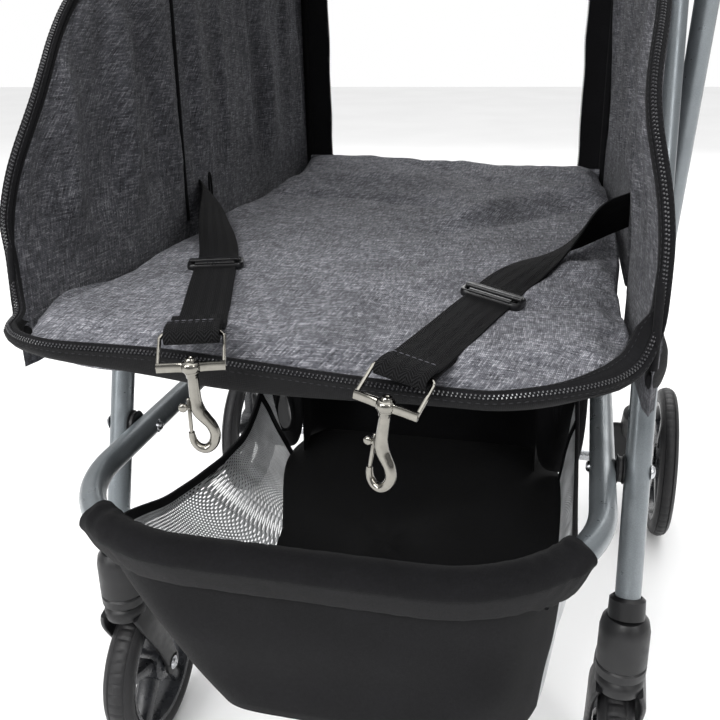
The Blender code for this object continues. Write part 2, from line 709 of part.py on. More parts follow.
def snap_hook(side):
    """Swivel snap hook below the eye, with the spring bolt that closes it."""
    top = hook_top()
    route = [
        (0.0007, 0.0, 0.0020), (0.0007, -0.0171, 0.0020), (0.0026, -0.0219, 0.0022),
        (0.0058, -0.0255, 0.0022), (0.0078, -0.0301, 0.0022), (0.0073, -0.0351, 0.0022),
        (0.0041, -0.0385, 0.0022), (0.0003, -0.0378, 0.0020), (-0.0020, -0.0344, 0.0017),
        (-0.0025, -0.0301, 0.0014),
    ]
    rings = []
    for i, (x, z, radius) in enumerate(route):
        x0, z0, _ = route[max(i - 1, 0)]
        x1, z1, _ = route[min(i + 1, len(route) - 1)]
        along = Vector((x1 - x0, 0, z1 - z0)).normalized()
        normal = along.cross(Vector((0, 1, 0)))
        ring = []
        for k in range(10):
            turn = 2 * math.pi * k / 10
            arm = normal * math.cos(turn) + Vector((0, 1, 0)) * math.sin(turn)
            ring.append(top + Vector((x, 0, z)) + arm * radius)
        rings.append(ring)
    hook = stacked(f"snap_hook_{side}", rings, steel())
    rod = [
        (0.0, -0.0296), (0.0008, -0.0296), (0.0008, -0.0228), (0.0009, -0.0222), (0.0009, -0.0154),
        (0.0, -0.0154),
    ]
    trigger = lathe(f"hook_trigger_{side}", rod, top + Vector((-0.0025, 0, 0)), (0, 0, 1), steel(), 10)
    return hook, trigger


def build():
    clear_scene()
    front_legs()
    side_hubs()
    seat_frame()
    basket_frame()
    rear_legs()
    brake_pedals()
    rear_wheels()
    front_casters()
    handle()
    cabin()
    hood()
    basket()
    tethers()


build()
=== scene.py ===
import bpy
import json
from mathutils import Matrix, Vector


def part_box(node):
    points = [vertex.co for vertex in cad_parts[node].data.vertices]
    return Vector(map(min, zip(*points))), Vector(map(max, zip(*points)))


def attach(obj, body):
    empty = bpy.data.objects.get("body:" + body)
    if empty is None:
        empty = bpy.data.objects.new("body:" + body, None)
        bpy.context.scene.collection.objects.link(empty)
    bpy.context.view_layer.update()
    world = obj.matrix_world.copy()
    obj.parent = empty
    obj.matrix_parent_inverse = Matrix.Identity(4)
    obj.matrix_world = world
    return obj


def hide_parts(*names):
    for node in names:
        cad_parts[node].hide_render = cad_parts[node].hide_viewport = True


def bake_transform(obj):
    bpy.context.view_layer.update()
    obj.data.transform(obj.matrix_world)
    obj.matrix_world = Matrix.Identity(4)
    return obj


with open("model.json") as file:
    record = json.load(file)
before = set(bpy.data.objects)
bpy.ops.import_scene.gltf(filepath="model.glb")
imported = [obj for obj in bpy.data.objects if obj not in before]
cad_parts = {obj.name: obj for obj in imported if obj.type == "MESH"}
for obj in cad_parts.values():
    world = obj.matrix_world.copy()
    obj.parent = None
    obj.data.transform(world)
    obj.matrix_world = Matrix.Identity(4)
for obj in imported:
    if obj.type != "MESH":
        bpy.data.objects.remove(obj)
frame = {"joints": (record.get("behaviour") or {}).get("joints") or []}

"""The looks of the pet stroller: fabrics, webbing, metal, plastic and rubber round the fixed frame."""
import json
import math

import bmesh
import bpy
from mathutils import Matrix, Vector, noise

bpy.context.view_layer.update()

# ---------------------------------------------------------------- driving dimensions (metres)
JOINTS = {joint["name"]: joint for joint in frame["joints"]}
HUB = Vector(JOINTS["handle_fold"]["pos_m"])
HUB_BACK = 0.2674
FRONT_Y = HUB.y - HUB_BACK           # y of the cabin's front edge; "back" runs rearwards from it
HUB_AXIS = Vector((0, HUB.y, HUB.z))
SIDES = {"l": -1, "r": 1}
AXLE = Vector((0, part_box("rear_axle")[0].y + 0.009, 0.080))

ACROSS, REARWARDS, UP = Vector((1, 0, 0)), Vector((0, 1, 0)), Vector((0, 0, 1))

TUBE_R = 0.008
LEG_X, LEG_SLOPE = 0.1758, 0.32      # the front legs lean rearwards as they rise
RAIL_X, REAR_LEG_X, HANDLE_X = 0.150, 0.201, 0.219
BASKET_TUBE_X, BASKET_TUBE_Z = 0.1545, 0.272
FOOT_R = 0.0188                      # round end of a rear wheel's foot
HANDLE_BEND = (0.600, 0.930)         # (back, z) where the handle tube bends
FLOOR_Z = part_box("floor_cushion")[1].z
BOARD_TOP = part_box("floor_board")[1].z
CABIN_REAR = 0.549
WALL_LOW, WALL_TOP = 0.3574, HUB.z + 0.0465
FRONT_EDGE = (                       # (x, back) round the floor's front, left to right
    (-0.1685, 0.0800), (-0.1665, 0.0540), (-0.1610, 0.0345), (-0.1510, 0.0195), (-0.1380, 0.0100),
    (-0.1180, 0.0040), (-0.0900, 0.0040), (-0.0600, 0.0050), (-0.0250, 0.0025), (0.0000, 0.0008),
    (0.0300, -0.0012), (0.0650, -0.0032), (0.0940, -0.0040), (0.1060, -0.0005), (0.1170, 0.0045),
    (0.1290, 0.0108), (0.1410, 0.0190), (0.1520, 0.0300), (0.1600, 0.0430), (0.1655, 0.0600),
    (0.1685, 0.0800),
)
ZIP_PITCH = 0.0020
CLOTH_THICKNESS = 0.0012
STITCH, STITCH_PITCH = (0.0014, 0.0003, 0.0003), 0.0038      # half sizes of a stitch, and its spacing
HOOD_HALF, HOOD_R = 0.1655, 0.290
HOOD_REAR, HOOD_MID, HOOD_FRONT = 12.0, 72.0, 128.0
STRAP_W, STRAP_T = 0.025, 0.0016
EYE_HALF, EYE_LENGTH, EYE_DIP = 0.0145, 0.0190, math.radians(31.0)
BASKET_HALF, BASKET_FLOOR = 0.142, 0.155
MESH_FRONT, MESH_REAR = 0.062, 0.352


# ---------------------------------------------------------------- small maths
def at(x, back, z):
    return Vector((x, FRONT_Y + back, z))


def ease(t):
    t = min(max(t, 0.0), 1.0)
    return t * t * (3 - 2 * t)


def bump(value, middle, width):
    return math.exp(-((value - middle) / width) ** 2)


def ripple(*place):
    return noise.noise(Vector(place))


def leg_back(z):
    return 0.165 + (z - 0.30) * LEG_SLOPE


def cabin_half(back):
    narrowing = 0.010 * min(max((back - 0.02) / 0.16, 0.0), 1.0)
    return 0.168 - narrowing - 0.008 * min(max((back - 0.25) / 0.30, 0.0), 1.0)


def wall_half(sign, back):
    """Half width at the walls: the right wall bellies out behind its front hem."""
    belly = 0.0065 * ease((back - 0.13) / 0.12) * (1 - ease((back - 0.46) / 0.08))
    return cabin_half(back) + (belly if sign > 0 else 0.0)


def wall_front(z):
    """Back distance of a side wall's front edge, then of its top edge, at a height."""
    high = HUB.z - 0.006
    if z <= high:
        return 0.050 + (HUB_BACK - 0.050) * (max(z - WALL_LOW, 0.0) / (high - WALL_LOW)) ** 3
    return HUB_BACK + (z - high) / math.tan(math.radians(HOOD_REAR))


def wall_lean(back, z):
    """The free front edge of a side wall leans inwards above the floor."""
    return 0.0085 * bump(z, 0.50, 0.036) * ease(1 - (back - wall_front(z)) / 0.12)


def between(stations, place):
    """The value at a place, straight between (place, value) stations."""
    for (start, low), (end, high) in zip(stations, stations[1:]):
        if place <= end:
            return low + (high - low) * max(place - start, 0.0) / (end - start)
    return stations[-1][1]


def span(line, i):
    """From the point before the i-th to the point after it."""
    return line[min(i + 1, len(line) - 1)] - line[max(i - 1, 0)]


def turns(count):
    return [2 * math.pi * k / count for k in range(count)]


def middle_of(node):
    low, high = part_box(node)
    return (low + high) / 2


def front_edge(outwards=0.0):
    """(x, back) points round the cabin's front, from the left wall to the right wall."""
    line = smooth_line([Vector((x, back, 0)) for x, back in FRONT_EDGE], 0.006)
    moved_line = []
    for i, p in enumerate(line):
        along = span(line, i).normalized()
        moved_line.append((p.x + along.y * outwards, p.y - along.x * outwards))
    return moved_line


def bow_point(degrees, turn, half, reach, power=0.62):
    """A point of a U-shaped bow: degrees up about the hub, turn round from the right."""
    up = math.radians(degrees)
    x = half * math.copysign(abs(math.cos(turn)) ** power, math.cos(turn))
    radius = reach * abs(math.sin(turn)) ** power
    return HUB + Vector((x, radius * math.cos(up), radius * math.sin(up)))


def bow(degrees, half, reach, first=1.0, last=179.0, steps=48):
    arc = [math.radians(first + (last - first) * k / steps) for k in range(steps + 1)]
    return [bow_point(degrees, turn, half, reach) for turn in arc]


def smooth_line(points, step):
    """A Catmull-Rom line through the points, resampled to even steps."""
    points = [Vector(p) for p in points]
    line = []
    for i in range(len(points) - 1):
        p0, p1 = points[max(i - 1, 0)], points[i]
        p2, p3 = points[i + 1], points[min(i + 2, len(points) - 1)]
        for k in range(12):
            t = k / 12
            line.append(0.5 * (2 * p1 + (p2 - p0) * t + (2 * p0 - 5 * p1 + 4 * p2 - p3) * t * t
                               + (3 * p1 - p0 - 3 * p2 + p3) * t ** 3))
    return even(line + [points[-1]], step)


def even(line, step):
    """The same line as equal steps of about the given length."""
    runs = [0.0]
    for a, b in zip(line, line[1:]):
        runs.append(runs[-1] + (b - a).length)
    count = max(2, round(runs[-1] / step))
    result, i = [], 0
    for k in range(count + 1):
        goal = runs[-1] * k / count
        while i < len(runs) - 2 and runs[i + 1] < goal:
            i += 1
        span = max(runs[i + 1] - runs[i], 1e-9)
        result.append(line[i].lerp(line[i + 1], (goal - runs[i]) / span))
    return result


def rounded(points, radius, steps=8, cyclic=False):
    """The points with every corner turned into an arc."""
    points = [Vector(p) for p in points]
    count, result = len(points), []
    for i, corner in enumerate(points):
        if not cyclic and i in (0, count - 1):
            result.append(corner)
            continue
        before = (points[i - 1] - corner).normalized()
        after = (points[(i + 1) % count] - corner).normalized()
        half = before.angle(after) / 2
        centre = corner + (before + after).normalized() * (radius / math.sin(half))
        start = corner + before * (radius / math.tan(half)) - centre
        end = corner + after * (radius / math.tan(half)) - centre
        turn = start.angle(end)
        for k in range(steps + 1):
            f = k / steps
            arm = start * math.sin((1 - f) * turn) + end * math.sin(f * turn)
            result.append(centre + arm / math.sin(turn))
    return result


# ---------------------------------------------------------------- mesh building
def circle(radius, count=24):
    return [(radius * math.cos(turn), radius * math.sin(turn)) for turn in turns(count)]


def slab(width, thickness, corner=None):
    """A flat section with rounded corners."""
    c = corner or thickness * 0.35
    w, t = width / 2, thickness / 2
    quarter = ((w, t - c), (w - c * 0.3, t - c * 0.3), (w - c, t))
    result = [(x, y) for x, y in quarter] + [(-x, y) for x, y in reversed(quarter)]
    return result + [(-x, -y) for x, y in quarter] + [(x, -y) for x, y in reversed(quarter)]


def grid(rows, closed=False):
    """A sheet through rows of points, with texture places in metres."""
    points, places, across = [], [], [0.0]
    for a, b in zip(rows[len(rows) // 2], rows[len(rows) // 2][1:]):
        across.append(across[-1] + (b - a).length)
    along = 0.0
    for r, row in enumerate(rows):
        along += (row[len(row) // 2] - rows[r - 1][len(row) // 2]).length if r else 0.0
        points += row
        places += [(across[c], along) for c in range(len(row))]
    size, faces = len(rows[0]), []
    for r in range(len(rows) - 1):
        for c in range(size if closed else size - 1):
            n = (c + 1) % size
            faces.append([r * size + c, r * size + n, (r + 1) * size + n, (r + 1) * size + c])
    return points, faces, places


def capped(rings):
    """A closed skin through rings of points, with a face over each end."""
    points, faces, places = grid(rings, closed=True)
    size = len(rings[0])
    return points, [*faces, list(range(size)), list(range(len(points) - size, len(points)))], places


def sweep(path, section, up=None, cyclic=False, caps=True, scale=None):
    """Carry a closed section along a path. up is one direction, one per point, or None for a tube."""
    count, size = len(path), len(section)
    points, places, run, normal = [], [], 0.0, None
    for i, point in enumerate(path):
        before = path[i - 1] if i or cyclic else point
        after = path[(i + 1) % count] if i < count - 1 or cyclic else point
        along = (after - before).normalized()
        if up is None:
            normal = normal or (Vector((0.03, 0.1, 1)) if abs(along.z) < 0.9 else Vector((0, 1, 0.1)))
        else:
            normal = up[i] if isinstance(up, list) else up
        normal = (normal - along * normal.dot(along)).normalized()
        side = along.cross(normal)
        size_here = scale[i] if scale else (1.0, 1.0)
        run += (point - path[i - 1]).length if i else 0.0
        for x, y in section:
            points.append(point + side * (x * size_here[0]) + normal * (y * size_here[1]))
            places.append((x, run))
    faces = []
    for i in range(count if cyclic else count - 1):
        for k in range(size):
            a, b, n = i * size, (i + 1) % count * size, (k + 1) % size
            faces.append([a + k, a + n, b + n, b + k])
    if caps and not cyclic:
        faces += [list(range(size)), list(range((count - 1) * size, count * size))]
    return points, faces, places


def tube(path, radius, count=24):
    return sweep(path, circle(radius, count))


def lathe(profile, centre, axis, steps=48, shape=None):
    """Turn (radius, along) pairs about an axis. shape(turn, radius, along) may change the radius."""
    axis = Vector(axis).normalized()
    side = Vector((0, 0, 1)) if abs(axis.z) < 0.9 else Vector((0, -1, 0))
    other = axis.cross(side).normalized()
    side = other.cross(axis)
    points, places, loops = [], [], []
    for radius, along in profile:
        loops.append([len(points)] * steps if radius == 0 else list(range(len(points), len(points) + steps)))
        for k in range(1 if radius == 0 else steps):
            turn = 2 * math.pi * k / steps
            r = shape(turn, radius, along) if shape and radius else radius
            arm = side * math.cos(turn) + other * math.sin(turn)
            points.append(Vector(centre) + axis * along + arm * r)
            places.append((turn * radius, along + radius))
    faces = []
    for low, high in zip(loops, loops[1:]):
        for k in range(steps):
            n = (k + 1) % steps
            faces.append(list(dict.fromkeys([low[k], low[n], high[n], high[k]])))
    return points, faces, places


def moved(part, matrix):
    points, faces, places = part
    return [matrix @ p for p in points], faces, places


def beads(line, up, size, pitch, rings=4, sides=6):
    """A row of small rounded beads along a line: stitches, or the teeth of a zip."""
    points, faces = [], []
    places = even(line, pitch)
    for i, point in enumerate(places[:-1]):
        along = (places[i + 1] - point).normalized()
        normal = up(point) if callable(up) else up
        side = along.cross(normal).normalized()
        normal = side.cross(along)
        base = len(points)
        for r in range(rings + 1):
            tilt = math.pi * r / rings
            for k in range(sides):
                turn = 2 * math.pi * k / sides
                points.append(point + along * (size[0] * -math.cos(tilt))
                              + side * (size[1] * math.sin(tilt) * math.cos(turn))
                              + normal * (size[2] * math.sin(tilt) * math.sin(turn)))
        for r in range(rings):
            for k in range(sides):
                a, n = base + r * sides, (k + 1) % sides
                faces.append([a + k, a + n, a + sides + n, a + sides + k])
    return points, faces, [(p.x, p.y) for p in points]


def make(name, parts, mats, body, slot, replaces=(), sharp=38.0, subdivide=0, weld=1e-6):
    """One visible piece from one or more (points, faces, places) parts, each with its material."""
    parts = [parts] if isinstance(parts, tuple) else parts
    mats = mats if isinstance(mats, list) else [mats] * len(parts)
    slots = list(dict.fromkeys(mats))
    bm = bmesh.new()
    layer = bm.loops.layers.uv.new("UVMap")
    for (points, faces, places), mat in zip(parts, mats):
        verts = [bm.verts.new(p) for p in points]
        for face in faces:
            made = bm.faces.new([verts[i] for i in face])
            made.material_index = slots.index(mat)
            for loop, i in zip(made.loops, face):
                loop[layer].uv = places[i]
    bmesh.ops.remove_doubles(bm, verts=bm.verts, dist=weld)
    bmesh.ops.recalc_face_normals(bm, faces=bm.faces)
    mesh = bpy.data.meshes.new(name)
    bm.to_mesh(mesh)
    bm.free()
    mesh.shade_smooth()
    mesh.set_sharp_from_angle(angle=math.radians(sharp))
    obj = bpy.data.objects.new(name, mesh)
    bpy.context.scene.collection.objects.link(obj)
    for mat in slots:
        mesh.materials.append(mat)
    if subdivide:
        mod = obj.modifiers.new("smooth", "SUBSURF")
        mod.levels = mod.render_levels = subdivide
    return place(obj, body, slot, replaces)


def place(obj, body, slot, replaces=()):
    if body:
        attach(obj, body)
    if replaces:
        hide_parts(*([replaces] if isinstance(replaces, str) else replaces))
    return obj


def thicken(obj, thickness):
    """Give a sheet its thickness, half on each side."""
    mod = obj.modifiers.new("cloth_thickness", "SOLIDIFY")
    mod.thickness, mod.offset = thickness, 0.0


# ---------------------------------------------------------------- materials
class Graph:
    """Shader nodes for one material."""

    def __init__(self, name, **values):
        self.mat = bpy.data.materials.new(name)
        self.mat.use_nodes = True
        self.tree = self.mat.node_tree
        self.shader = self.tree.nodes["Principled BSDF"]
        for key, value in values.items():
            self.shader.inputs[key.replace("_", " ")].default_value = value

    def node(self, kind, inputs, **settings):
        made = self.tree.nodes.new(kind)
        for key, value in settings.items():
            setattr(made, key, value)
        for key, value in inputs.items():
            if isinstance(value, bpy.types.NodeSocket):
                self.tree.links.new(value, made.inputs[key])
            else:
                made.inputs[key].default_value = value
        return made.outputs[0]

    def math(self, operation, a, b=0.0, c=0.0):
        return self.node("ShaderNodeMath", {0: a, 1: b, 2: c}, operation=operation)

    def places(self, kind, scale=(1, 1, 1), turn=0.0):
        source = self.tree.nodes.new("ShaderNodeTexCoord").outputs[kind]
        inputs = {"Vector": source, "Scale": scale, "Rotation": (0, 0, turn)}
        return self.node("ShaderNodeMapping", inputs)

    def parts(self, vector):
        split = self.tree.nodes.new("ShaderNodeSeparateXYZ")
        self.tree.links.new(vector, split.inputs[0])
        return split.outputs[0], split.outputs[1], split.outputs[2]

    def noise(self, kind, scale, detail=2.0, turn=0.0, rough=0.5):
        scale = scale if isinstance(scale, tuple) else (scale,) * 3
        inputs = {"Vector": self.places(kind, scale, turn), "Scale": 1.0, "Detail": detail}
        inputs["Roughness"] = rough
        return self.node("ShaderNodeTexNoise", inputs)

    def spread(self, value, low, high, to_low, to_high):
        inputs = {0: value, 1: low, 2: high, 3: to_low, 4: to_high}
        return self.node("ShaderNodeMapRange", inputs)

    def ramp(self, value, *stops):
        made = self.tree.nodes.new("ShaderNodeValToRGB")
        self.tree.links.new(value, made.inputs[0])
        while len(made.color_ramp.elements) < len(stops):
            made.color_ramp.elements.new(0.5)
        for element, (position, color) in zip(made.color_ramp.elements, stops):
            element.position, element.color = position, (*color, 1.0)
        return made.outputs[0]

    def blend(self, factor, a, b, mode="MIX"):
        made = self.tree.nodes.new("ShaderNodeMix")
        made.data_type, made.blend_type = "RGBA", mode
        for index, value in ((0, factor), (6, a), (7, b)):
            if isinstance(value, bpy.types.NodeSocket):
                self.tree.links.new(value, made.inputs[index])
            else:
                made.inputs[index].default_value = value if index == 0 else (*value, 1.0)
        return made.outputs[2]

    def output(self, color=None, roughness=None, height=None, strength=0.5, distance=0.0003):
        if color is not None:
            self.tree.links.new(color, self.shader.inputs["Base Color"])
        if roughness is not None:
            self.tree.links.new(roughness, self.shader.inputs["Roughness"])
        if height is not None:
            inputs = {"Height": height, "Strength": strength, "Distance": distance}
            normal = self.node("ShaderNodeBump", inputs)
            self.tree.links.new(normal, self.shader.inputs["Normal"])
        return self.mat


def yarns(g, kind, pitch, streak, axes=(0, 1)):
    """A plain weave of mottled yarns: (mottling from 0 to 1, height of the yarns)."""
    found = g.parts(g.places(kind))
    u, v = found[axes[0]], found[axes[1]]
    if kind == "Object":
        rise = found[3 - axes[0] - axes[1]]
        u, v = g.math("SUBTRACT", u, rise), g.math("ADD", v, rise)
    over = g.math("MULTIPLY", g.math("SINE", g.math("MULTIPLY", u, math.pi / pitch)),
                  g.math("SINE", g.math("MULTIPLY", v, math.pi / pitch)))

    def yarn(across, along, seed):
        number = g.math("MULTIPLY", g.math("FLOOR", g.math("DIVIDE", across, pitch)), 7.31)
        vector = g.node("ShaderNodeCombineXYZ", {0: number, 1: g.math("DIVIDE", along, streak), 2: seed})
        return g.node("ShaderNodeTexNoise", {"Vector": vector, "Scale": 1.0, "Detail": 2.0, "Roughness": 0.6})

    choose = g.spread(over, -0.4, 0.4, 0.24, 0.76)
    mottle = g.math("ADD", g.math("MULTIPLY", yarn(u, v, 0.0), choose),
                    g.math("MULTIPLY", yarn(v, u, 9.0), g.math("SUBTRACT", 1.0, choose)))
    return mottle, g.math("POWER", g.math("ABSOLUTE", over), 0.6)


def melange(name, kind, axes=(0, 1), tone=1.0):
    """Grey melange fabric: pale and dark yarns woven together, a little bluish, with painted shade in the
    gaps between the yarns.
    """
    g = Graph(name, Sheen_Weight=0.06, Sheen_Roughness=0.6, Specular_IOR_Level=0.18)
    mottle, height = yarns(g, kind, 0.00100, 0.0085, axes)
    light = tuple(c * tone for c in (0.40, 0.40, 0.42))
    middle = tuple(c * tone for c in (0.112, 0.114, 0.127))
    dark = tuple(c * tone for c in (0.016, 0.016, 0.020))
    color = g.ramp(mottle, (0.30, dark), (0.50, middle), (0.72, light))
    worn = g.ramp(g.noise(kind, 22.0, 3.0), (0.35, (0.80, 0.80, 0.82)), (0.65, (1.10, 1.10, 1.12)))
    # Painted shade: the colour darkens in the gaps between the yarns, where the weave is low.
    weave_shade = g.ramp(height, (0.0, (0.30, 0.30, 0.31)), (0.55, (1.05, 1.05, 1.05)))
    color = g.blend(1.0, g.blend(1.0, color, worn, "MULTIPLY"), weave_shade, "MULTIPLY")
    rough = g.spread(mottle, 0.3, 0.7, 0.98, 0.86)
    return g.output(color, rough, height, 0.8, 0.0004)


def cloth(name, base, pitch=0.0006, kind="UV", sheen=0.03, roughness=0.88, axes=(0, 1)):
    """Plain dyed polyester cloth."""
    g = Graph(name, Sheen_Weight=sheen, Sheen_Roughness=0.5, Specular_IOR_Level=0.10)
    mottle, height = yarns(g, kind, pitch, 0.003, axes)
    color = g.ramp(mottle, (0.3, tuple(c * 0.75 for c in base)), (0.7, tuple(c * 1.35 for c in base)))
    faded = g.ramp(g.noise(kind, 30.0, 4.0), (0.4, (0.9, 0.9, 0.9)), (0.7, (1.2, 1.2, 1.22)))
    color = g.blend(1.0, color, faded, "MULTIPLY")
    return g.output(color, g.spread(mottle, 0.3, 0.7, roughness, roughness - 0.12), height, 0.5, 0.0003)


def webbing(name):
    """Black herringbone webbing: slanting ribs that turn back at each stripe, coloured by their height as
    painted shade and painted highlight.
    """
    g = Graph(name, Specular_IOR_Level=0.10)
    u, v, _ = g.parts(g.places("UV"))
    zigzag = g.math("PINGPONG", u, 0.0031)
    phase = g.math("MULTIPLY", g.math("ADD", v, zigzag), 2 * math.pi / 0.0016)
    rib = g.math("SINE", phase)
    cross = g.math("SINE", g.math("MULTIPLY", u, 2 * math.pi / 0.0010))
    height = g.math("ADD", rib, g.math("MULTIPLY", cross, 0.35))
    # Painted light: the colour follows the rib height, darker in the grooves (painted shade) and paler on the
    # rib tops (painted highlight).
    tone = g.spread(height, -1.3, 1.3, 0.0, 1.0)
    color = g.ramp(tone, (0.1, (0.0008, 0.0008, 0.0009)), (0.9, (0.0090, 0.0090, 0.0098)))
    return g.output(color, g.spread(tone, 0.0, 1.0, 0.9, 0.62), height, 0.8, 0.0003)


def paint(name):
    """Satin silver-grey powder coat over steel, rubbed a little."""
    g = Graph(name, Metallic=0.55, Coat_Weight=0.18, Coat_Roughness=0.22)
    tone = g.noise("Object", 18.0, 4.0)
    color = g.ramp(tone, (0.35, (0.150, 0.168, 0.180)), (0.65, (0.195, 0.215, 0.228)))
    flecks = g.ramp(g.noise("Object", 2600.0, 1.0), (0.40, (0.90, 0.90, 0.90)), (0.60, (1.12, 1.12, 1.12)))
    streaks = g.noise("Object", (60.0, 60.0, 9.0), 6.0, 0.0, 0.7)
    rub = g.ramp(streaks, (0.60, (1, 1, 1)), (0.74, (1.35, 1.34, 1.32)))
    color = g.blend(1.0, g.blend(1.0, color, flecks, "MULTIPLY"), rub, "MULTIPLY")
    rough = g.spread(g.noise("Object", 90.0, 5.0), 0.3, 0.7, 0.26, 0.42)
    return g.output(color, rough, g.noise("Object", 900.0, 2.0), 0.10, 0.0002)


def nickel(name, base=(0.25, 0.24, 0.215), low=0.08, high=0.20):
    """Bright plated metal with fine handling marks."""
    g = Graph(name, Metallic=1.0)
    tone = g.noise("Object", 300.0, 5.0, 0.0, 0.65)
    color = g.ramp(tone, (0.3, tuple(c * 0.80 for c in base)), (0.7, base))
    marks = g.noise("Object", (2200.0, 2200.0, 300.0), 3.0, 0.6)
    return g.output(color, g.spread(tone, 0.35, 0.70, low, high), marks, 0.06, 0.0002)


def moulded(name, base, roughness, grain=1800.0, specular=0.5, strength=0.25):
    """Moulded plastic with a fine grain, a little paler where it is handled."""
    g = Graph(name, Specular_IOR_Level=specular)
    tone = g.noise("Object", 45.0, 5.0)
    color = g.ramp(tone, (0.35, tuple(c * 0.85 for c in base)), (0.70, tuple(c * 1.35 for c in base)))
    rough = g.spread(g.noise("Object", 160.0, 4.0), 0.3, 0.7, roughness - 0.07, roughness + 0.09)
    return g.output(color, rough, g.noise("Object", grain, 2.0), strength, 0.0002)


def pores(name, base, scale, roughness, dust=(1.5, 1.45, 1.38)):
    """Foam rubber: closed cells, with dust where it rubs."""
    g = Graph(name, Specular_IOR_Level=0.3)
    cells = g.node("ShaderNodeTexVoronoi", {"Vector": g.places("Object"), "Scale": scale})
    tone = g.noise("Object", 40.0, 5.0, 0.0, 0.65)
    color = g.ramp(tone, (0.4, base), (0.75, tuple(b * d for b, d in zip(base, dust))))
    return g.output(color, g.spread(tone, 0.3, 0.7, roughness, roughness - 0.12), cells, 0.45, 0.0003)


M = {
    "grey": melange("grey_melange", "UV"),
    # One grey cloth in three copies: the walls' copy is darkened to 0.68 as painted shade, and the floor's
    # copy is brightened to 1.10 as painted light.
    "wall": melange("grey_melange_wall_painted_shade", "UV", tone=0.68),
    "floor": melange("grey_melange_floor_painted_light", "Object", tone=1.10),
    "black": cloth("black_cloth", (0.0042, 0.0042, 0.0048)),
    # A darker copy of the black cloth: painted shade for the floor inside the basket.
    "basket_floor_shade": cloth("black_cloth_painted_shade", (0.0030, 0.0030, 0.0034)),
    "tape": cloth("black_tape", (0.0045, 0.0045, 0.0052), 0.0005),
    "band": cloth("black_coated_cloth", (0.0033, 0.0033, 0.0037), 0.0009, roughness=0.66),
    "web": webbing("black_webbing"),
    "thread": cloth("grey_thread", (0.085, 0.085, 0.095), 0.0003, "Object"),
    "dark_thread": cloth("black_thread", (0.020, 0.020, 0.022), 0.0003, "Object"),
    "net": moulded("silver_net", (0.50, 0.51, 0.52), 0.5, 2500.0, 0.4),
    "paint": paint("satin_silver_paint"),
    "nickel": nickel("bright_nickel"),
    "zinc": nickel("zinc_screw", (0.55, 0.56, 0.58), 0.2, 0.38),
    "black_plastic": moulded("black_plastic", (0.0075, 0.0075, 0.0082), 0.42, specular=0.35),
    "gloss_plastic": moulded("black_nylon", (0.005, 0.005, 0.0055), 0.30, 2500.0, 0.4),
    "grey_plastic": moulded("grey_plastic", (0.020, 0.021, 0.024), 0.28),
    "tyre": pores("tyre_foam", (0.010, 0.010, 0.011), 1500.0, 0.55),
    "foam": pores("grip_foam", (0.018, 0.018, 0.019), 1100.0, 0.92),
    "teeth": moulded("zip_teeth", (0.014, 0.014, 0.016), 0.24, 900.0, 0.7, 0.05),
}


# ---------------------------------------------------------------- camera, lights and floor
def make_camera():
    data = bpy.data.cameras.new("camera")
    data.lens, data.sensor_width, data.clip_start, data.shift_x = 44.01, 36.0, 0.02, -0.0028
    camera = bpy.data.objects.new("camera", data)
    bpy.context.scene.collection.objects.link(camera)
    yaw, pitch, roll = math.radians(14.1277), math.radians(90 - 21.7085), math.radians(-1.2015)
    turn = Matrix.Rotation(yaw, 4, "Z") @ Matrix.Rotation(pitch, 4, "X") @ Matrix.Rotation(roll, 4, "Z")
    camera.matrix_world = Matrix.Translation(at(0.1287, -0.3509, 0.5409)) @ turn
    bpy.context.scene.camera = camera


def area_light(name, location, target, size, power, color=(1, 1, 1)):
    data = bpy.data.lights.new(name, "AREA")
    data.shape, data.size, data.size_y = "RECTANGLE", size[0], size[1]
    data.energy, data.color = power, color
    light = bpy.data.objects.new(name, data)
    bpy.context.scene.collection.objects.link(light)
    light.location = location
    light.rotation_euler = (Vector(target) - Vector(location)).to_track_quat("-Z", "Y").to_euler()


def make_studio():
    area_light("top", (0.1, -0.1, 2.4), (0, 0, 0.4), (2.2, 2.2), 30)
    area_light("front_left", (-1.5, -1.9, 1.3), (0, -0.1, 0.4), (0.6, 1.5), 22)
    area_light("key", (-0.35, -1.5, 1.25), (0, -0.1, 0.39), (0.7, 0.45), 17)
    area_light("front_right", (1.7, -1.4, 1.5), (0, -0.1, 0.45), (0.5, 1.4), 13)
    area_light("behind", (0.2, 2.4, 1.6), (0, 0, 0.5), (2.4, 1.2), 30)
    world = bpy.data.worlds.new("studio")
    bpy.context.scene.world = world
    world.use_nodes = True
    tree = world.node_tree
    split = tree.nodes.new("ShaderNodeSeparateXYZ")
    tree.links.new(tree.nodes.new("ShaderNodeTexCoord").outputs["Generated"], split.inputs[0])
    sky = tree.nodes.new("ShaderNodeMapRange")
    tree.links.new(split.outputs[2], sky.inputs[0])
    for index, value in ((1, -0.05), (2, 0.75), (3, 0.22), (4, 1.10)):
        sky.inputs[index].default_value = value
    seen = tree.nodes.new("ShaderNodeMath")
    seen.operation = "MAXIMUM"
    tree.links.new(tree.nodes.new("ShaderNodeLightPath").outputs["Is Camera Ray"], seen.inputs[0])
    tree.links.new(sky.outputs[0], seen.inputs[1])
    tree.links.new(seen.outputs[0], tree.nodes["Background"].inputs[1])
    tree.nodes["Background"].inputs[0].default_value = (1.0, 1.0, 1.0, 1.0)
    bpy.context.scene.view_settings.view_transform = "Standard"
    g = Graph("studio_floor", Roughness=0.7)
    tone = g.ramp(g.noise("Object", 3.0, 3.0), (0.3, (0.86, 0.86, 0.86)), (0.7, (0.90, 0.90, 0.90)))
    half = 6.0
    corners = [Vector((x, y, 0)) for x, y in ((-half, -half), (half, -half), (half, half), (-half, half))]
    mesh = bpy.data.meshes.new("studio_floor")
    mesh.from_pydata(corners, [], [[0, 1, 2, 3]])
    mesh.materials.append(g.output(tone))
    floor = bpy.data.objects.new("studio_floor", mesh)
    bpy.context.scene.collection.objects.link(floor)


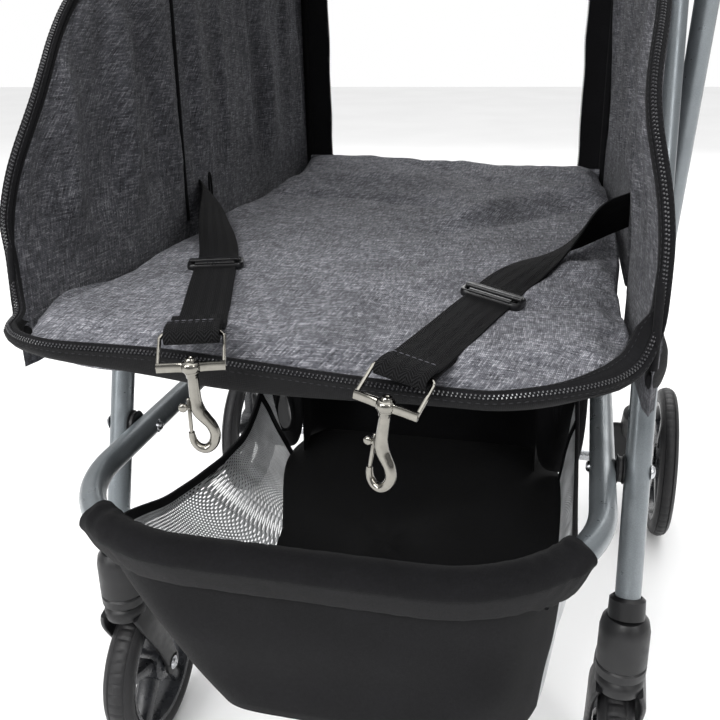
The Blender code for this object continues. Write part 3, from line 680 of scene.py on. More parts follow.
# ---------------------------------------------------------------- cabin floor
FLOOR_FOLDS = (
    # from (x, back) to (x, back), height, width: ridges are positive and creases negative
    ((-0.146, 0.067), (-0.156, 0.307), -0.0030, 0.0070),
    ((-0.133, 0.385), (-0.028, 0.372), -0.0042, 0.0110),
    ((-0.028, 0.372), (0.040, 0.337), -0.0040, 0.0130),
    ((-0.120, 0.440), (0.011, 0.420), 0.0045, 0.0190),
    ((0.040, 0.300), (0.100, 0.372), 0.0038, 0.0120),
    ((0.100, 0.372), (0.145, 0.405), 0.0040, 0.0110),
    ((0.012, 0.253), (0.070, 0.300), -0.0024, 0.0160),
    ((0.070, 0.300), (0.140, 0.370), -0.0034, 0.0120),
    ((0.112, 0.184), (0.165, 0.262), -0.0040, 0.0120),
    ((0.064, 0.194), (0.160, 0.158), 0.0026, 0.0180),
    ((0.100, 0.100), (0.166, 0.120), -0.0016, 0.0100),
    ((0.028, 0.480), (0.075, 0.452), -0.0030, 0.0100),
    ((-0.050, 0.515), (0.020, 0.500), -0.0024, 0.0090),
    ((0.085, 0.500), (0.140, 0.470), 0.0030, 0.0110),
)


def floor_lift(x, back):
    """Height of the soft folds above the flat of the cushion."""
    lift = 0.0
    for (x0, b0), (x1, b1), height, width in FLOOR_FOLDS:
        dx, db = x1 - x0, b1 - b0
        t = min(max(((x - x0) * dx + (back - b0) * db) / (dx * dx + db * db), 0.0), 1.0)
        away = math.hypot(x - x0 - dx * t, back - b0 - db * t)
        lift += 2.2 * height * math.exp(-(away / width) ** 2) * (0.55 + 0.45 * math.sin(math.pi * t))
    cove = 0.0085 * ease((-x - 0.146) / 0.014) + 0.0040 * ease((x - 0.150) / 0.010)
    lift += cove * ease((back - 0.045) / 0.04)
    lift += (0.0060 - 0.0045 * math.tanh(x / 0.06)) * ease((back - 0.46) / 0.08)
    lift += 0.0034 * ripple(x * 26, back * 20, 3.1) + 0.0009 * ripple(x * 80, back * 60, 8.4)
    return max(min(lift, 0.0125), -0.0095)


def pressed(obj, pressure, cap, low):
    """Blow the closed cloth up a little, and let no point move further than cap or below low."""
    start = [v.co.copy() for v in obj.data.vertices]
    mod = obj.modifiers.new("cloth", "CLOTH")
    mod.settings.use_pressure = True
    mod.settings.uniform_pressure_force = pressure
    mod.settings.effector_weights.gravity = 0.0
    mod.settings.quality = 4
    scene = bpy.context.scene
    for number in range(1, 21):
        scene.frame_set(number)
    swollen = obj.evaluated_get(bpy.context.evaluated_depsgraph_get())
    ends = [v.co.copy() for v in swollen.data.vertices]
    obj.modifiers.remove(mod)
    scene.frame_set(1)
    for vertex, a, b in zip(obj.data.vertices, start, ends):
        step = b - a
        if step.length > cap:
            step *= cap / step.length
        vertex.co = a + step
        vertex.co.z = max(vertex.co.z, low)


def remeshed(obj, voxel):
    mod = obj.modifiers.new("remesh", "REMESH")
    mod.mode, mod.voxel_size, mod.use_smooth_shade = "VOXEL", voxel, True
    solid = obj.evaluated_get(bpy.context.evaluated_depsgraph_get())
    mesh = bpy.data.meshes.new_from_object(solid)
    obj.modifiers.clear()
    obj.data = mesh
    mesh.shade_smooth()


def make_cushion():
    levels = (
        (0.0700, 0.0060, BOARD_TOP + 0.0012), (0.0500, 0.0010, 0.3640), (0.0300, 0.0, 0.3725),
        (0.0130, 0.0, 0.3790), (0.0055, 0.0, 0.3835), (0.0045, 0.0005, 0.3870), (0.0120, 0.0030, 0.3890),
    )
    rings = []
    for inset, side_inset, z in levels:
        lift = 0.0012 * (z > 0.38)
        front = [(x, back) for x, back in front_edge(-inset) if back < 0.070]
        ring = [at(x, back, z - lift * math.tanh(x / 0.08)) for x, back in front]
        rear = CABIN_REAR - 0.004 - side_inset
        sides = [0.078 + (rear - 0.078) * f / 12 for f in range(13)]
        ring += [at(wall_half(1, back) - 0.0006 - side_inset, back, z) for back in sides]
        ring += [at(0.05, rear, z), at(-0.05, rear, z)]
        ring += [at(-wall_half(-1, back) + 0.0006 + side_inset, back, z) for back in reversed(sides)]
        rings.append(even([*ring, ring[0]], 0.006)[:-1])
    count = min(len(ring) for ring in rings)
    rings = [[ring[round(k * len(ring) / count) % len(ring)] for k in range(count)] for ring in rings]
    # The cushion takes the grey fabric's copy brightened as painted light.
    cushion = make("seat_cushion", capped(rings), M["floor"], None, "grey_fabric")
    remeshed(cushion, 0.0040)
    cushion.data.materials.clear()
    cushion.data.materials.append(M["floor"])
    pressed(cushion, 4.0, 0.0055, BOARD_TOP + 0.0006)
    for vertex in cushion.data.vertices:
        x, back = vertex.co.x, vertex.co.y - FRONT_Y
        top = ease((vertex.co.z - 0.3790) / 0.008)
        inner = ease((back - between(FRONT_EDGE, x) - 0.003) / 0.022)
        vertex.co.z += floor_lift(x, back) * top * inner
        limit = wall_half(math.copysign(1, x), back) + 0.0010
        vertex.co.x = min(max(x, -limit), limit)
    mod = cushion.modifiers.new("smooth", "SUBSURF")
    mod.levels = mod.render_levels = 1
    place(cushion, "frame", "grey_fabric", "floor_cushion")


def edge_height(x):
    """Height of the zip round the floor's front."""
    return 0.3880 - 0.0035 * math.tanh(x / 0.08)


def zip_route():
    """The zip's line and the direction it faces: up the left wall, round the floor, up the right."""
    corner = (                        # x, back, height above the zip's front, on the right
        (0.1600, 0.0400, 0.0025), (0.1650, 0.0475, 0.0090), (0.1680, 0.0520, 0.0190),
        (0.1688, 0.0535, 0.0300),
    )
    line, facing = [], []
    for x, back in front_edge():
        if back < 0.030 or abs(x) < 0.12:
            line.append(at(x, back, edge_height(x)))
            turned = ease((abs(x) - 0.10) / 0.06)
            facing.append(Vector((0.5 * math.copysign(turned, x), -1.0, 0.7 + 0.5 * turned)).normalized())
    for sign in (-1, 1):
        base = edge_height(sign * 0.16)
        climb = [at(sign * x, back, base + rise) for x, back, rise in corner]
        for k in range(1, 15):
            z = 0.425 + (0.602 - 0.425) * k / 14
            slope = (wall_front(z + 0.001) - wall_front(z - 0.001)) / 0.002
            away = Vector((-1.0, slope)).normalized() * 0.0040
            back = wall_front(z) + away.x
            climb.append(at(sign * (cabin_half(back) + 0.0028 - wall_lean(back, z)), back, z + away.y))
        turn_to = []
        for k in range(len(climb)):
            rise = ease(k / 4)
            turn_to.append(Vector((sign * (0.50 - 0.30 * rise), -1.0, 1.2 - 0.9 * rise)).normalized())
        if sign < 0:
            line, facing = climb[::-1] + line, turn_to[::-1] + facing
        else:
            line, facing = line + climb, facing + turn_to
    return line, facing


def make_zip():
    line, facing = zip_route()
    smooth = smooth_line(line, 0.004)

    def face_of(point):
        nearest = min(range(len(line)), key=lambda i: (line[i] - point).length_squared)
        return facing[nearest]

    ups = [face_of(p) for p in smooth]
    last = len(ups) - 1
    for _ in range(8):
        ups = [(ups[max(i - 1, 0)] + u + ups[min(i + 1, last)]).normalized() for i, u in enumerate(ups)]
    along = [span(smooth, i).normalized() for i in range(last + 1)]
    side = [a.cross(u).normalized() for a, u in zip(along, ups)]
    inner, outer = [], []
    for p in smooth:
        wide = 0.0036 + 0.0058 * bump(p.x, 0.160, 0.026) * ease((0.412 - p.z) / 0.012)
        inner.append(wide - 0.0008 * ease((p.z - 0.415) / 0.02))
        outer.append(0.0044)
    tape_rows = []
    for i, p in enumerate(smooth):
        stations = (-inner[i], -inner[i] + 0.0004, -0.0022, 0.0022, outer[i] - 0.0004, outer[i])
        depths = (0.0019, 0.0009, 0.0007, 0.0007, 0.0009, 0.0019)
        top = [p + side[i] * t - ups[i] * d for t, d in zip(stations, depths)]
        tape_rows.append(top + [q - ups[i] * 0.0010 for q in reversed(top)])
    tape = grid(tape_rows, closed=True)
    rows = []
    for way in (-1, 1):
        reach = [0.0004 + (outer[i] if way > 0 else inner[i]) * 0.72 for i in range(last + 1)]
        row = [p + s * (way * r) - u * 0.0006 for p, s, u, r in zip(smooth, side, ups, reach)]
        rows.append(beads(row, face_of, (0.0009, 0.00020, 0.00018), 0.0032))
    teeth = []
    for way in (-1, 1):
        row = [p + s * (way * 0.00060) + u * 0.0001 for p, s, u in zip(smooth, side, ups)]
        row = [row[0] + along[0] * (ZIP_PITCH / 4 * way)] + row[1:]
        teeth.append(beads(row, face_of, (0.00062, 0.00085, 0.00090), ZIP_PITCH, 4, 6))
    core = sweep([p - u * 0.0004 for p, u in zip(smooth, ups)], slab(0.0028, 0.0012), ups)
    mats = [M["tape"], M["dark_thread"], M["dark_thread"], M["teeth"], M["teeth"], M["tape"]]
    make("zip_line", [tape, *rows, *teeth, core], mats, "frame", "zip", "front_zip", weld=1e-7)
    for side_name, end in (("l", 0), ("r", -1)):
        top, up = smooth[end], ups[end]
        drops = (Vector((0, 0, 0)), Vector((0, -0.003, -0.006)), Vector((0, -0.0035, -0.020)))
        pull = smooth_line([top + drop for drop in drops], 0.001)
        profile = [(0, -0.0045), (0.0028, -0.0042), (0.0036, 0), (0.0028, 0.0042), (0, 0.0045)]
        slider = lathe(profile, top + up * 0.0006, (0, 0.5, 1), 20)
        tag = sweep(pull, slab(0.0042, 0.0014), Vector((0, -1, -0.2)))
        make(f"zip_slider_{side_name}", [slider, tag], M["nickel"], "frame", "zip")


def make_band():
    """The smooth black bumper band under the zip, with a welt along each edge."""
    line = [at(x, back, 0) for x, back in front_edge(0.0006) if back < 0.046]
    line = even(line, 0.005)
    rows = []
    for depth, out in ((0.0, 0.0), (0.04, 0.0010), (0.12, 0.0014), (0.35, 0.0018), (0.65, 0.0014),
                       (0.90, 0.0006), (0.97, -0.0004), (1.0, -0.0020)):
        row = []
        for i, p in enumerate(line):
            outwards = span(line, i).cross(UP).normalized()
            tall = 0.0042 + 0.0085 * bump(p.x, -0.030, 0.080) + 0.0018 * bump(p.x, 0.118, 0.020)
            z = edge_height(p.x) - 0.0008 - tall * depth
            lump = 0.0006 * ripple(p.x * 40, depth * 2, 1.7)
            row.append(Vector((p.x, p.y, z)) + outwards * (out + lump))
        rows.append(row)
    inner = [[p + Vector((-0.02 * p.x, 0.0035, 0)) for p in row] for row in reversed(rows)]
    band = capped([list(column) for column in zip(*(rows + inner))])
    seam = [p + Vector((0, -0.0004, -0.0004)) for p in rows[2]]
    stitches = beads(seam, Vector((0, -1, 0.2)), (0.0011, 0.00025, 0.00025), 0.0036)
    make("bumper_band", [band, stitches], [M["band"], M["dark_thread"]], "frame", "black_fabric",
         "front_band", sharp=60)


# ---------------------------------------------------------------- cabin walls
def wall_wrinkle(sign, back, z):
    """Soft upright folds of a side wall, deeper higher up, and the groove at the side seam."""
    rise = ease((z - 0.395) / 0.05)
    fold = 0.0092 * ripple(back * 36 + sign * 3, z * 6, 2.0) + 0.0026 * ripple(back * 95, z * 14, 6.0 + sign)
    fold += 0.0034 * math.sin(back * 95 + z * 9 + sign) * bump(z, 0.50, 0.10)
    fold *= 1 - bump(back, 0.262 + 0.03 * (z - 0.40), 0.010)
    groove = 0.0034 * bump(back, 0.262 + 0.03 * (z - 0.40), 0.0042)
    return fold * (0.25 + 0.75 * rise) * rise - groove


def wall_rows(sign, inner, columns=110, rows=64):
    top, result = WALL_TOP, []
    for r in range(rows + 1):
        z = WALL_LOW + (top - WALL_LOW) * r / rows
        start, row = wall_front(z), []
        for c in range(columns + 1):
            back = start + (CABIN_REAR - start) * c / columns
            rim = min(back - start, CABIN_REAR - back, top - z + 0.004)
            full = 0.35 + 0.65 * ease(rim / 0.010)
            wrinkle = wall_wrinkle(sign, back, z) * ease(rim / 0.02)
            lean = wall_lean(back, z)
            if inner:
                x = wall_half(sign, back) + 0.0028 * (1 - full) - max(wrinkle, -0.0030) - lean
            else:
                sag = 0.0022 * math.sin(math.pi * (z - WALL_LOW) / (top - WALL_LOW))
                pucker = 0.0013 * ripple(back * 60, z * 12, 11.0 + sign)
                x = wall_half(sign, back) + 0.0050 * full + (sag + pucker + 0.0015) * ease(rim / 0.02) - lean
            row.append(at(sign * x, back, z))
        result.append(row)
    return result


def ringed(outer, inner):
    """A thick sheet: two grids of the same size joined round their edges."""
    points, faces, places = grid(outer)
    more, inside, flat = grid(inner)
    rows, cols, base = len(outer), len(outer[0]), len(points)
    faces = faces + [[base + i for i in reversed(face)] for face in inside]
    rim = [c for c in range(cols)] + [r * cols + cols - 1 for r in range(1, rows)]
    rim += [(rows - 1) * cols + c for c in range(cols - 2, -1, -1)]
    rim += [r * cols for r in range(rows - 2, 0, -1)]
    for a, b in zip(rim, rim[1:] + rim[:1]):
        faces.append([a, b, base + b, base + a])
    return points + more, faces, places + flat


def make_walls():
    for side, sign in SIDES.items():
        outer, inner = wall_rows(sign, False), wall_rows(sign, True)
        # The walls take the grey fabric's copy darkened as painted shade.
        wall = make(f"cabin_wall_{side}", ringed(outer, inner), M["wall"], "frame", "grey_fabric",
                    f"cabin_side_{side}", sharp=70)
        rows, columns = len(inner) - 1, len(inner[0]) - 1
        inward = Vector((-sign, 0, 0))
        lines = []
        for column in (int(columns * 0.10), int(columns * 0.10) + 2):
            lines.append([inner[r][column] + inward * 0.0003 for r in range(10, rows - 12)])
        lines.append([inner[r][columns - 6] + inward * 0.0003 for r in range(8, rows - 2)])
        for column in (3, 5):
            lines.append([outer[r][column] - inward * 0.0003 for r in range(6, rows - 14)])
        lines.append([outer[rows // 2][c] - inward * 0.0003 for c in range(4, columns - 4)])
        parts = [beads(line, inward, STITCH, STITCH_PITCH) for line in lines if len(line) > 3]
        make(f"wall_stitching_{side}", parts, M["thread"], "frame", "grey_fabric", weld=1e-7)
        piping = [inner[r][0].lerp(outer[r][0], 0.5) + Vector((0, 0.0004, 0)) for r in range(5, rows - 10)]
        # The black tube laid along the side-seam groove darkens it: painted shade of the groove.
        seam = []
        for k in range(31):
            z = 0.394 + 0.206 * k / 30
            back = 0.262 + 0.03 * (z - 0.40)
            seam.append(at(sign * (wall_half(sign, back) + 0.0026), back, z))
        crown = [inner[-1][c].lerp(outer[-1][c], 0.5) for c in range(0, columns + 1, 3)]
        trim = [tube(even(piping, 0.006), 0.0021, 12), tube(smooth_line(seam, 0.006), 0.0018, 10),
                tube(crown, 0.0030, 12)]
        make(f"wall_piping_{side}", trim, M["tape"], "frame", "black_fabric")
        edge = [at(sign * (cabin_half(CABIN_REAR) - 0.0015), CABIN_REAR - 0.0012, z)
                for z in [WALL_LOW + (WALL_TOP - WALL_LOW) * k / 30 for k in range(31)]]
        flange = []
        for k, p in enumerate(edge):
            wide = 0.0235 + 0.0016 * ripple(k * 0.3, sign, 4.0)
            flange.append([p + Vector((-sign * wide * t, 0.0014 * math.sin(math.pi * t), 0)) for t in
                           (0.0, 0.08, 0.3, 0.6, 0.92, 1.0)])
        back_side = [[p + Vector((0, 0.0016, 0)) for p in row] for row in flange]
        binding = tube(edge, 0.0034, 14)
        teeth = [row[-1] + Vector((0, -0.0002, 0)) for row in flange]
        zip_row = beads(teeth, Vector((0, -1, 0)), (0.00075, 0.0014, 0.0011), ZIP_PITCH)
        make(f"rear_edging_{side}", [ringed(flange, back_side), binding, zip_row],
             [M["tape"], M["tape"], M["teeth"]], "frame", "black_fabric")
    make_corners()
    make_slits()
    make_rear_sill()


def make_rear_sill():
    """The turned-down hem across the cabin's rear opening."""
    half = cabin_half(CABIN_REAR) - 0.004
    rows = []
    for k in range(61):
        x = -half + 2 * half * k / 60
        lift = floor_lift(x, CABIN_REAR - 0.004)
        rows.append(at(x, CABIN_REAR - 0.0045, FLOOR_Z - 0.0040 + max(lift, 0.0)))
    make("rear_sill", tube(rows, 0.0042, 14), M["floor"], "frame", "grey_fabric")


def make_corners():
    """Dark cloth that wraps the frame under each front corner of the cabin."""
    for side, sign in SIDES.items():
        rings = []
        for k in range(25):
            t = k / 24
            swell = math.sin(math.pi * t) ** 0.7
            middle = at(sign * (0.1660 + 0.0065 * swell), 0.050 + 0.100 * t, 0.3760 - 0.004 * swell)
            ring = []
            for turn in turns(24):
                crease = 1 + 0.16 * ripple(math.cos(turn) * 1.7, math.sin(turn) * 1.7, t * 6 + sign)
                reach = Vector((math.cos(turn) * 0.0062, 0, math.sin(turn) * 0.0125)) * (0.25 + 0.75 * swell)
                ring.append(middle + reach * crease)
            rings.append(ring)
        make(f"corner_cover_{side}", capped(rings), M["black"], "frame", "black_fabric", sharp=70,
             subdivide=1)


def make_slits():
    """The bound slot in each side wall that a tether comes out of, with a black disc in it as painted shade
    of the opening.
    """
    for side, sign in SIDES.items():
        centre = tether_anchor(side)
        ring = [centre + Vector((sign * 0.0006, 0.0024 * math.cos(turn), 0.0125 * math.sin(turn)))
                for turn in turns(28)]
        # Painted shade: a black disc fills the slot's opening, standing for the shade inside it.
        slot_shade_disc = [(p - centre) * 0.95 + centre + Vector((sign * 0.0008, 0, 0)) for p in ring]
        points = slot_shade_disc + [centre + Vector((sign * 0.0010, 0, 0))]
        faces = [[k, (k + 1) % 28, 28] for k in range(28)]
        welt = sweep(ring, circle(0.0009, 10), ACROSS, cyclic=True)
        make(f"tether_slot_{side}", [welt, (points, faces, [(p.y, p.z) for p in points])], M["tape"],
             "frame", "black_fabric")


# ---------------------------------------------------------------- hood
def hood_sag(degrees, turn):
    """How far the cloth sinks between the bows."""
    for low, high in ((HOOD_REAR, HOOD_MID), (HOOD_MID, HOOD_FRONT - 3.0)):
        if low <= degrees <= high:
            between = (degrees - low) / (high - low)
            depth = 0.0075 * math.sin(math.pi * between) ** 2 * math.sin(turn) ** 0.7
            return depth + 0.0012 * ripple(degrees * 0.22, turn * 7, 5.0)
    return 0.0


def from_hub(point):
    return point - HUB


def canopy_rows(lift):
    rows = []
    for a in range(59):
        degrees = HOOD_REAR + (HOOD_FRONT - HOOD_REAR) * a / 58
        row = []
        for k in range(81):
            turn = math.radians(2.0 + 176.0 * k / 80)
            sunk = hood_sag(degrees, turn) - lift
            row.append(bow_point(degrees, turn, HOOD_HALF - sunk * 0.4, HOOD_R - sunk))
        rows.append(row)
    return rows


def make_hood():
    canopy = make("hood_canopy", grid(canopy_rows(-0.0008)), M["grey"], None, "grey_fabric", sharp=80)
    thicken(canopy, 0.0014)
    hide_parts("canopy")
    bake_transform(canopy)
    rows = canopy_rows(0.0004)
    lines = [rows[a] for a in (2, 29, 31, 55)] + [[row[c] for row in rows] for c in (22, 24, 56, 58)]
    stitching = make("hood_stitching", [beads(line, from_hub, STITCH, STITCH_PITCH) for line in lines],
                     M["thread"], None, "grey_fabric", weld=1e-7)
    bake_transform(stitching)
    for name, degrees, body, node in (("front_bow", HOOD_FRONT - 3.0, "hood_front", "front_bow"),
                                      ("mid_bow", HOOD_MID, "hood_mid", "mid_bow")):
        rod = tube(bow(degrees, 0.157, 0.280, steps=72), 0.0035, 14)
        make(f"{name}_tube", rod, M["black_plastic"], body, "black_plastic", node)
    for name, degrees, body in (("front", HOOD_FRONT, "hood_front"), ("rear", HOOD_REAR, "frame")):
        line = bow(degrees, HOOD_HALF, HOOD_R, 2.0, 178.0, 96)
        ups = [(p - HUB).normalized() for p in line]
        binding = sweep(line, slab(0.013, 0.0034, 0.0012), ups)
        shift = [p + u * 0.0019 for p, u in zip(line, ups)]
        stitches = beads(shift, from_hub, (0.0013, 0.00028, 0.00025), 0.0038)
        make(f"hood_{name}_binding", [binding, stitches], [M["tape"], M["thread"]], body, "black_fabric")
    make_flap_roll("front", HOOD_FRONT - 4.0, "hood_front", 1.0)
    make_flap_roll("rear", HOOD_REAR + 4.0, "frame", 2.0)


def make_flap_roll(name, degrees, body, seed):
    """A flap rolled up along the hood's edge, tied with two loops of webbing."""
    radius = 0.0125
    lift = radius + 0.0022
    line = even(bow(degrees, HOOD_HALF + lift, HOOD_R + lift, 40.0, 140.0, 60), 0.004)
    outward = [(p - HUB).normalized() for p in line]
    rings = []
    for i, (p, up) in enumerate(zip(line, outward)):
        side, t = span(line, i).normalized().cross(up).normalized(), i / (len(line) - 1)
        tied = 1 - 0.22 * bump(t, 0.24, 0.022) - 0.22 * bump(t, 0.76, 0.022)
        ring = []
        for k, turn in enumerate(turns(36)):
            layer = 0.90 + 0.10 * k / 36
            crease = 1 + 0.05 * ripple(math.cos(turn) * 2, t * 14, seed + math.sin(turn) * 2)
            reach = radius * layer * tied * crease
            ring.append(p + side * (math.cos(turn) * reach) + up * (math.sin(turn) * reach * 0.92))
        rings.append(ring)
    for _ in range(2):
        middle = line[-1]
        along = (line[-1] - line[-2]).normalized()
        for shrink, depth in ((0.86, 0.0006), (0.72, -0.0010), (0.55, -0.0034), (0.30, -0.0040)):
            rings.append([middle + (q - middle) * shrink + along * depth for q in rings[-1]])
        rings.reverse()
        line.reverse()
    roll = make(f"{name}_flap", capped(rings), M["grey"], body, "grey_fabric", f"{name}_flap_roll", sharp=65)
    ties = []
    for t in (0.24, 0.76):
        i = round(t * (len(line) - 1))
        along = (line[i + 1] - line[i - 1]).normalized()
        side = along.cross(outward[i]).normalized()
        loop = [line[i] + (side * math.cos(turn) + outward[i] * math.sin(turn)) * radius * 0.90
                for turn in turns(40)]
        ties.append(sweep(loop, slab(0.010, 0.0014), [(q - line[i]).normalized() for q in loop], cyclic=True))
        tail = smooth_line([loop[4], loop[3] + side * 0.004 - outward[i] * 0.006,
                            loop[1] + side * 0.006 - outward[i] * 0.016], 0.002)
        ties.append(sweep(tail, slab(0.010, 0.0012), side))
    make(f"{name}_flap_ties", ties, M["web"], body, "black_fabric")


# ---------------------------------------------------------------- shopping basket
BASKET_RIM = (                       # (back, z) along the rim, front to rear
    (0.0, 0.262), (0.05, 0.254), (0.084, 0.244), (0.142, 0.2205), (0.23, 0.200), (0.30, 0.1965),
    (0.335, 0.214), (0.37, 0.262), (0.42, 0.325),
)


def rim_height(back):
    """The rim's height, with its corners eased."""
    return sum(between(BASKET_RIM, back + shift) for shift in (-0.012, -0.006, 0.0, 0.006, 0.012)) / 5


def basket_point(turn, level, swell=0.0):
    """A point of the tub: turn runs round it from the right side, level from floor to rim."""
    draw = 0.010 * (1 - level) - swell
    half, front, rear = BASKET_HALF - draw, 0.019 + draw, 0.420 - draw
    middle, length = (front + rear) / 2, (rear - front) / 2
    c, s = math.cos(turn), math.sin(turn)
    x = half * math.copysign(abs(c) ** 0.30, c)
    back = middle + length * math.copysign(abs(s) ** 0.42, s)
    z = BASKET_FLOOR + (rim_height(back) - BASKET_FLOOR) * level
    sag = 0.0035 * math.sin(math.pi * level) * ripple(turn * 2.5, level * 2, 9.0)
    slack = (0.012 + 0.044 * (1 - ease((back - 0.17) / 0.19))) * (1 - level) ** 1.6 * max(-x, 0.0) / half
    return at(x + sag * c + slack, back + sag * s, z)


def turn_of(back):
    """The turn at which the tub's right side is at a distance behind the front."""
    low, high = -math.pi / 2 + 0.001, math.pi / 2 - 0.001
    for _ in range(40):
        middle = (low + high) / 2
        if basket_point(middle, 1.0).y - FRONT_Y < back:
            low = middle
        else:
            high = middle
    return (low + high) / 2


def mirrored(sign, turn):
    """The same place on the tub's other side."""
    return turn if sign > 0 else math.pi - turn


def make_net(side, sign):
    """A side panel of knitted net: real holes in a thin sheet."""
    low, high = turn_of(MESH_FRONT), turn_of(MESH_REAR)
    fine = [low + (high - low) * k / 400 for k in range(401)]
    line = [basket_point(t, 0.6) for t in fine]
    pitch = 0.0023
    runs, marks = 0.0, [fine[0]]
    for k in range(1, 401):
        runs += (line[k] - line[k - 1]).length
        if runs >= pitch * len(marks):
            marks.append(fine[k])
    tall = 42
    points, faces, places, columns = [], [], [], []
    for k in range(2 * len(marks) - 1):
        t = marks[0] + (marks[-1] - marks[0]) * k / (2 * len(marks) - 2)
        column = [basket_point(mirrored(sign, t), 0.995 * v / 60) for v in range(61)]
        length = sum((b - a).length for a, b in zip(column, column[1:]))
        columns.append(even(column, length / tall))

    def spot(u, v):
        return columns[round(2 * u)][v]

    for i in range(len(marks) - 1):
        for j in range(tall):
            shift = 0.5 * (j % 2)
            outer = [(i + shift, j), (i + 1 + shift, j), (i + 1 + shift, j + 1), (i + shift, j + 1)]
            base, keep = len(points), 0.40
            corners = [spot(min(u, len(marks) - 1), v) for u, v in outer]
            hole = []
            for k in range(8):
                turn = math.pi / 4 * k + math.pi / 8
                a = corners[0].lerp(corners[1], 0.5 + 0.5 * (1 - keep) * math.cos(turn))
                b = corners[3].lerp(corners[2], 0.5 + 0.5 * (1 - keep) * math.cos(turn))
                hole.append(a.lerp(b, 0.5 + 0.5 * (1 - keep) * math.sin(turn)))
            edge = []
            for k in (2, 3, 0, 1):
                edge += [corners[k], corners[k].lerp(corners[(k + 1) % 4], 0.5)]
            points += edge + hole
            places += [(p.y, p.z) for p in edge + hole]
            for k in range(8):
                n = (k + 1) % 8
                faces.append([base + k, base + n, base + 8 + n, base + 8 + k])
    net = make(f"basket_net_{side}", (points, faces, places), M["net"], "frame", "black_fabric", sharp=80,
               weld=1e-5)
    thicken(net, 0.0002)
    return net


def make_basket():
    nets = [make_net(side, sign) for side, sign in SIDES.items()]
    edge = turn_of(MESH_FRONT)
    low, high = -math.pi - edge - 0.001, edge + 0.001
    front_rows, back_rows = [], []
    plan = [at(x, back, 0) for x, back in ((-0.106, 0.353), (-0.112, 0.414), (0.112, 0.414), (0.106, 0.353))]
    plan = even(rounded(plan, 0.024, 10), 0.004)
    for level in [k / 18 for k in range(19)]:
        front_rows.append([basket_point(low + (high - low) * k / 60, 0.995 * level) for k in range(61)])
        row = []
        for p in plan:
            back = 0.353 + (p.y - FRONT_Y - 0.353) * (1 - 0.20 * (1 - level) ** 2)
            fold = 0.0016 * ripple(p.x * 35, level * 5, 14.0) * math.sin(math.pi * level)
            height = BASKET_FLOOR - 0.0005 + (rim_height(back) - BASKET_FLOOR) * 0.995 * level
            row.append(at(p.x, back + fold, height))
        back_rows.append(row)
    front = make("basket_front", grid(front_rows), M["black"], "frame", "black_fabric", sharp=80)
    rear = make("basket_back", grid(back_rows), M["black"], "frame", "black_fabric", sharp=80)
    floor_rows = []
    for k in range(25):
        shrink = 1 - k / 24
        row = []
        for j in range(97):
            p = basket_point(-math.pi + 2 * math.pi * j / 96, 0.0)
            middle = at(0, 0.2195, p.z)
            q = middle + (p - middle) * shrink
            q.z = BASKET_FLOOR + 0.0010 + 0.0020 * ripple(q.x * 16, q.y * 16, 4.0) * (1 - shrink ** 4)
            row.append(q)
        floor_rows.append(row)
    # The basket's floor takes the darker copy of the black cloth: painted shade inside the basket.
    floor = make("basket_floor", grid(floor_rows), M["basket_floor_shade"], "frame", "black_fabric", "basket", sharp=80)
    for sheet in (front, rear, floor):
        thicken(sheet, CLOTH_THICKNESS)
    make_basket_trim()
    make_gussets()
    make_hem()


def make_basket_trim():
    """Binding along the net's rim, and corner posts up to the seat rails."""
    low, high = turn_of(0.045), turn_of(0.390)
    for side, sign in SIDES.items():
        rim = [basket_point(low + (high - low) * k / 90, 1.0) for k in range(91)]
        rim = [Vector((sign * p.x, p.y, p.z)) for p in rim]
        tape = sweep([p - Vector((0, 0, 0.0045)) for p in rim], slab(0.0030, 0.0130, 0.0013), UP)
        stitches = beads([p - Vector((sign * 0.0017, 0, 0.0095)) for p in rim], Vector((-sign, 0, 0)),
                         (0.0012, 0.00028, 0.00025), 0.0036)
        make(f"basket_rim_{side}", [tape, stitches], [M["tape"], M["thread"]], "frame", "black_fabric")
        corner = basket_point(turn_of(0.372), 0.98)
        corner = Vector((sign * corner.x, corner.y, corner.z))
        rail = at(sign * RAIL_X, 0.372, 0.337)
        for name, offset in (("front", -0.013), ("rear", 0.010)):
            bow_out = Vector((0, offset, 0))
            line = smooth_line([corner + Vector((0, offset * 0.3, -0.030)), corner.lerp(rail, 0.35) + bow_out,
                                corner.lerp(rail, 0.75) + bow_out * 0.9, rail + bow_out * 0.1], 0.003)
            strap = sweep(line, slab(0.0105, 0.0016), Vector((sign, 0, 0.05)))
            make(f"basket_post_{side}" if name == "rear" else f"basket_strap_{side}", strap, M["black"],
                 "frame", "black_fabric")


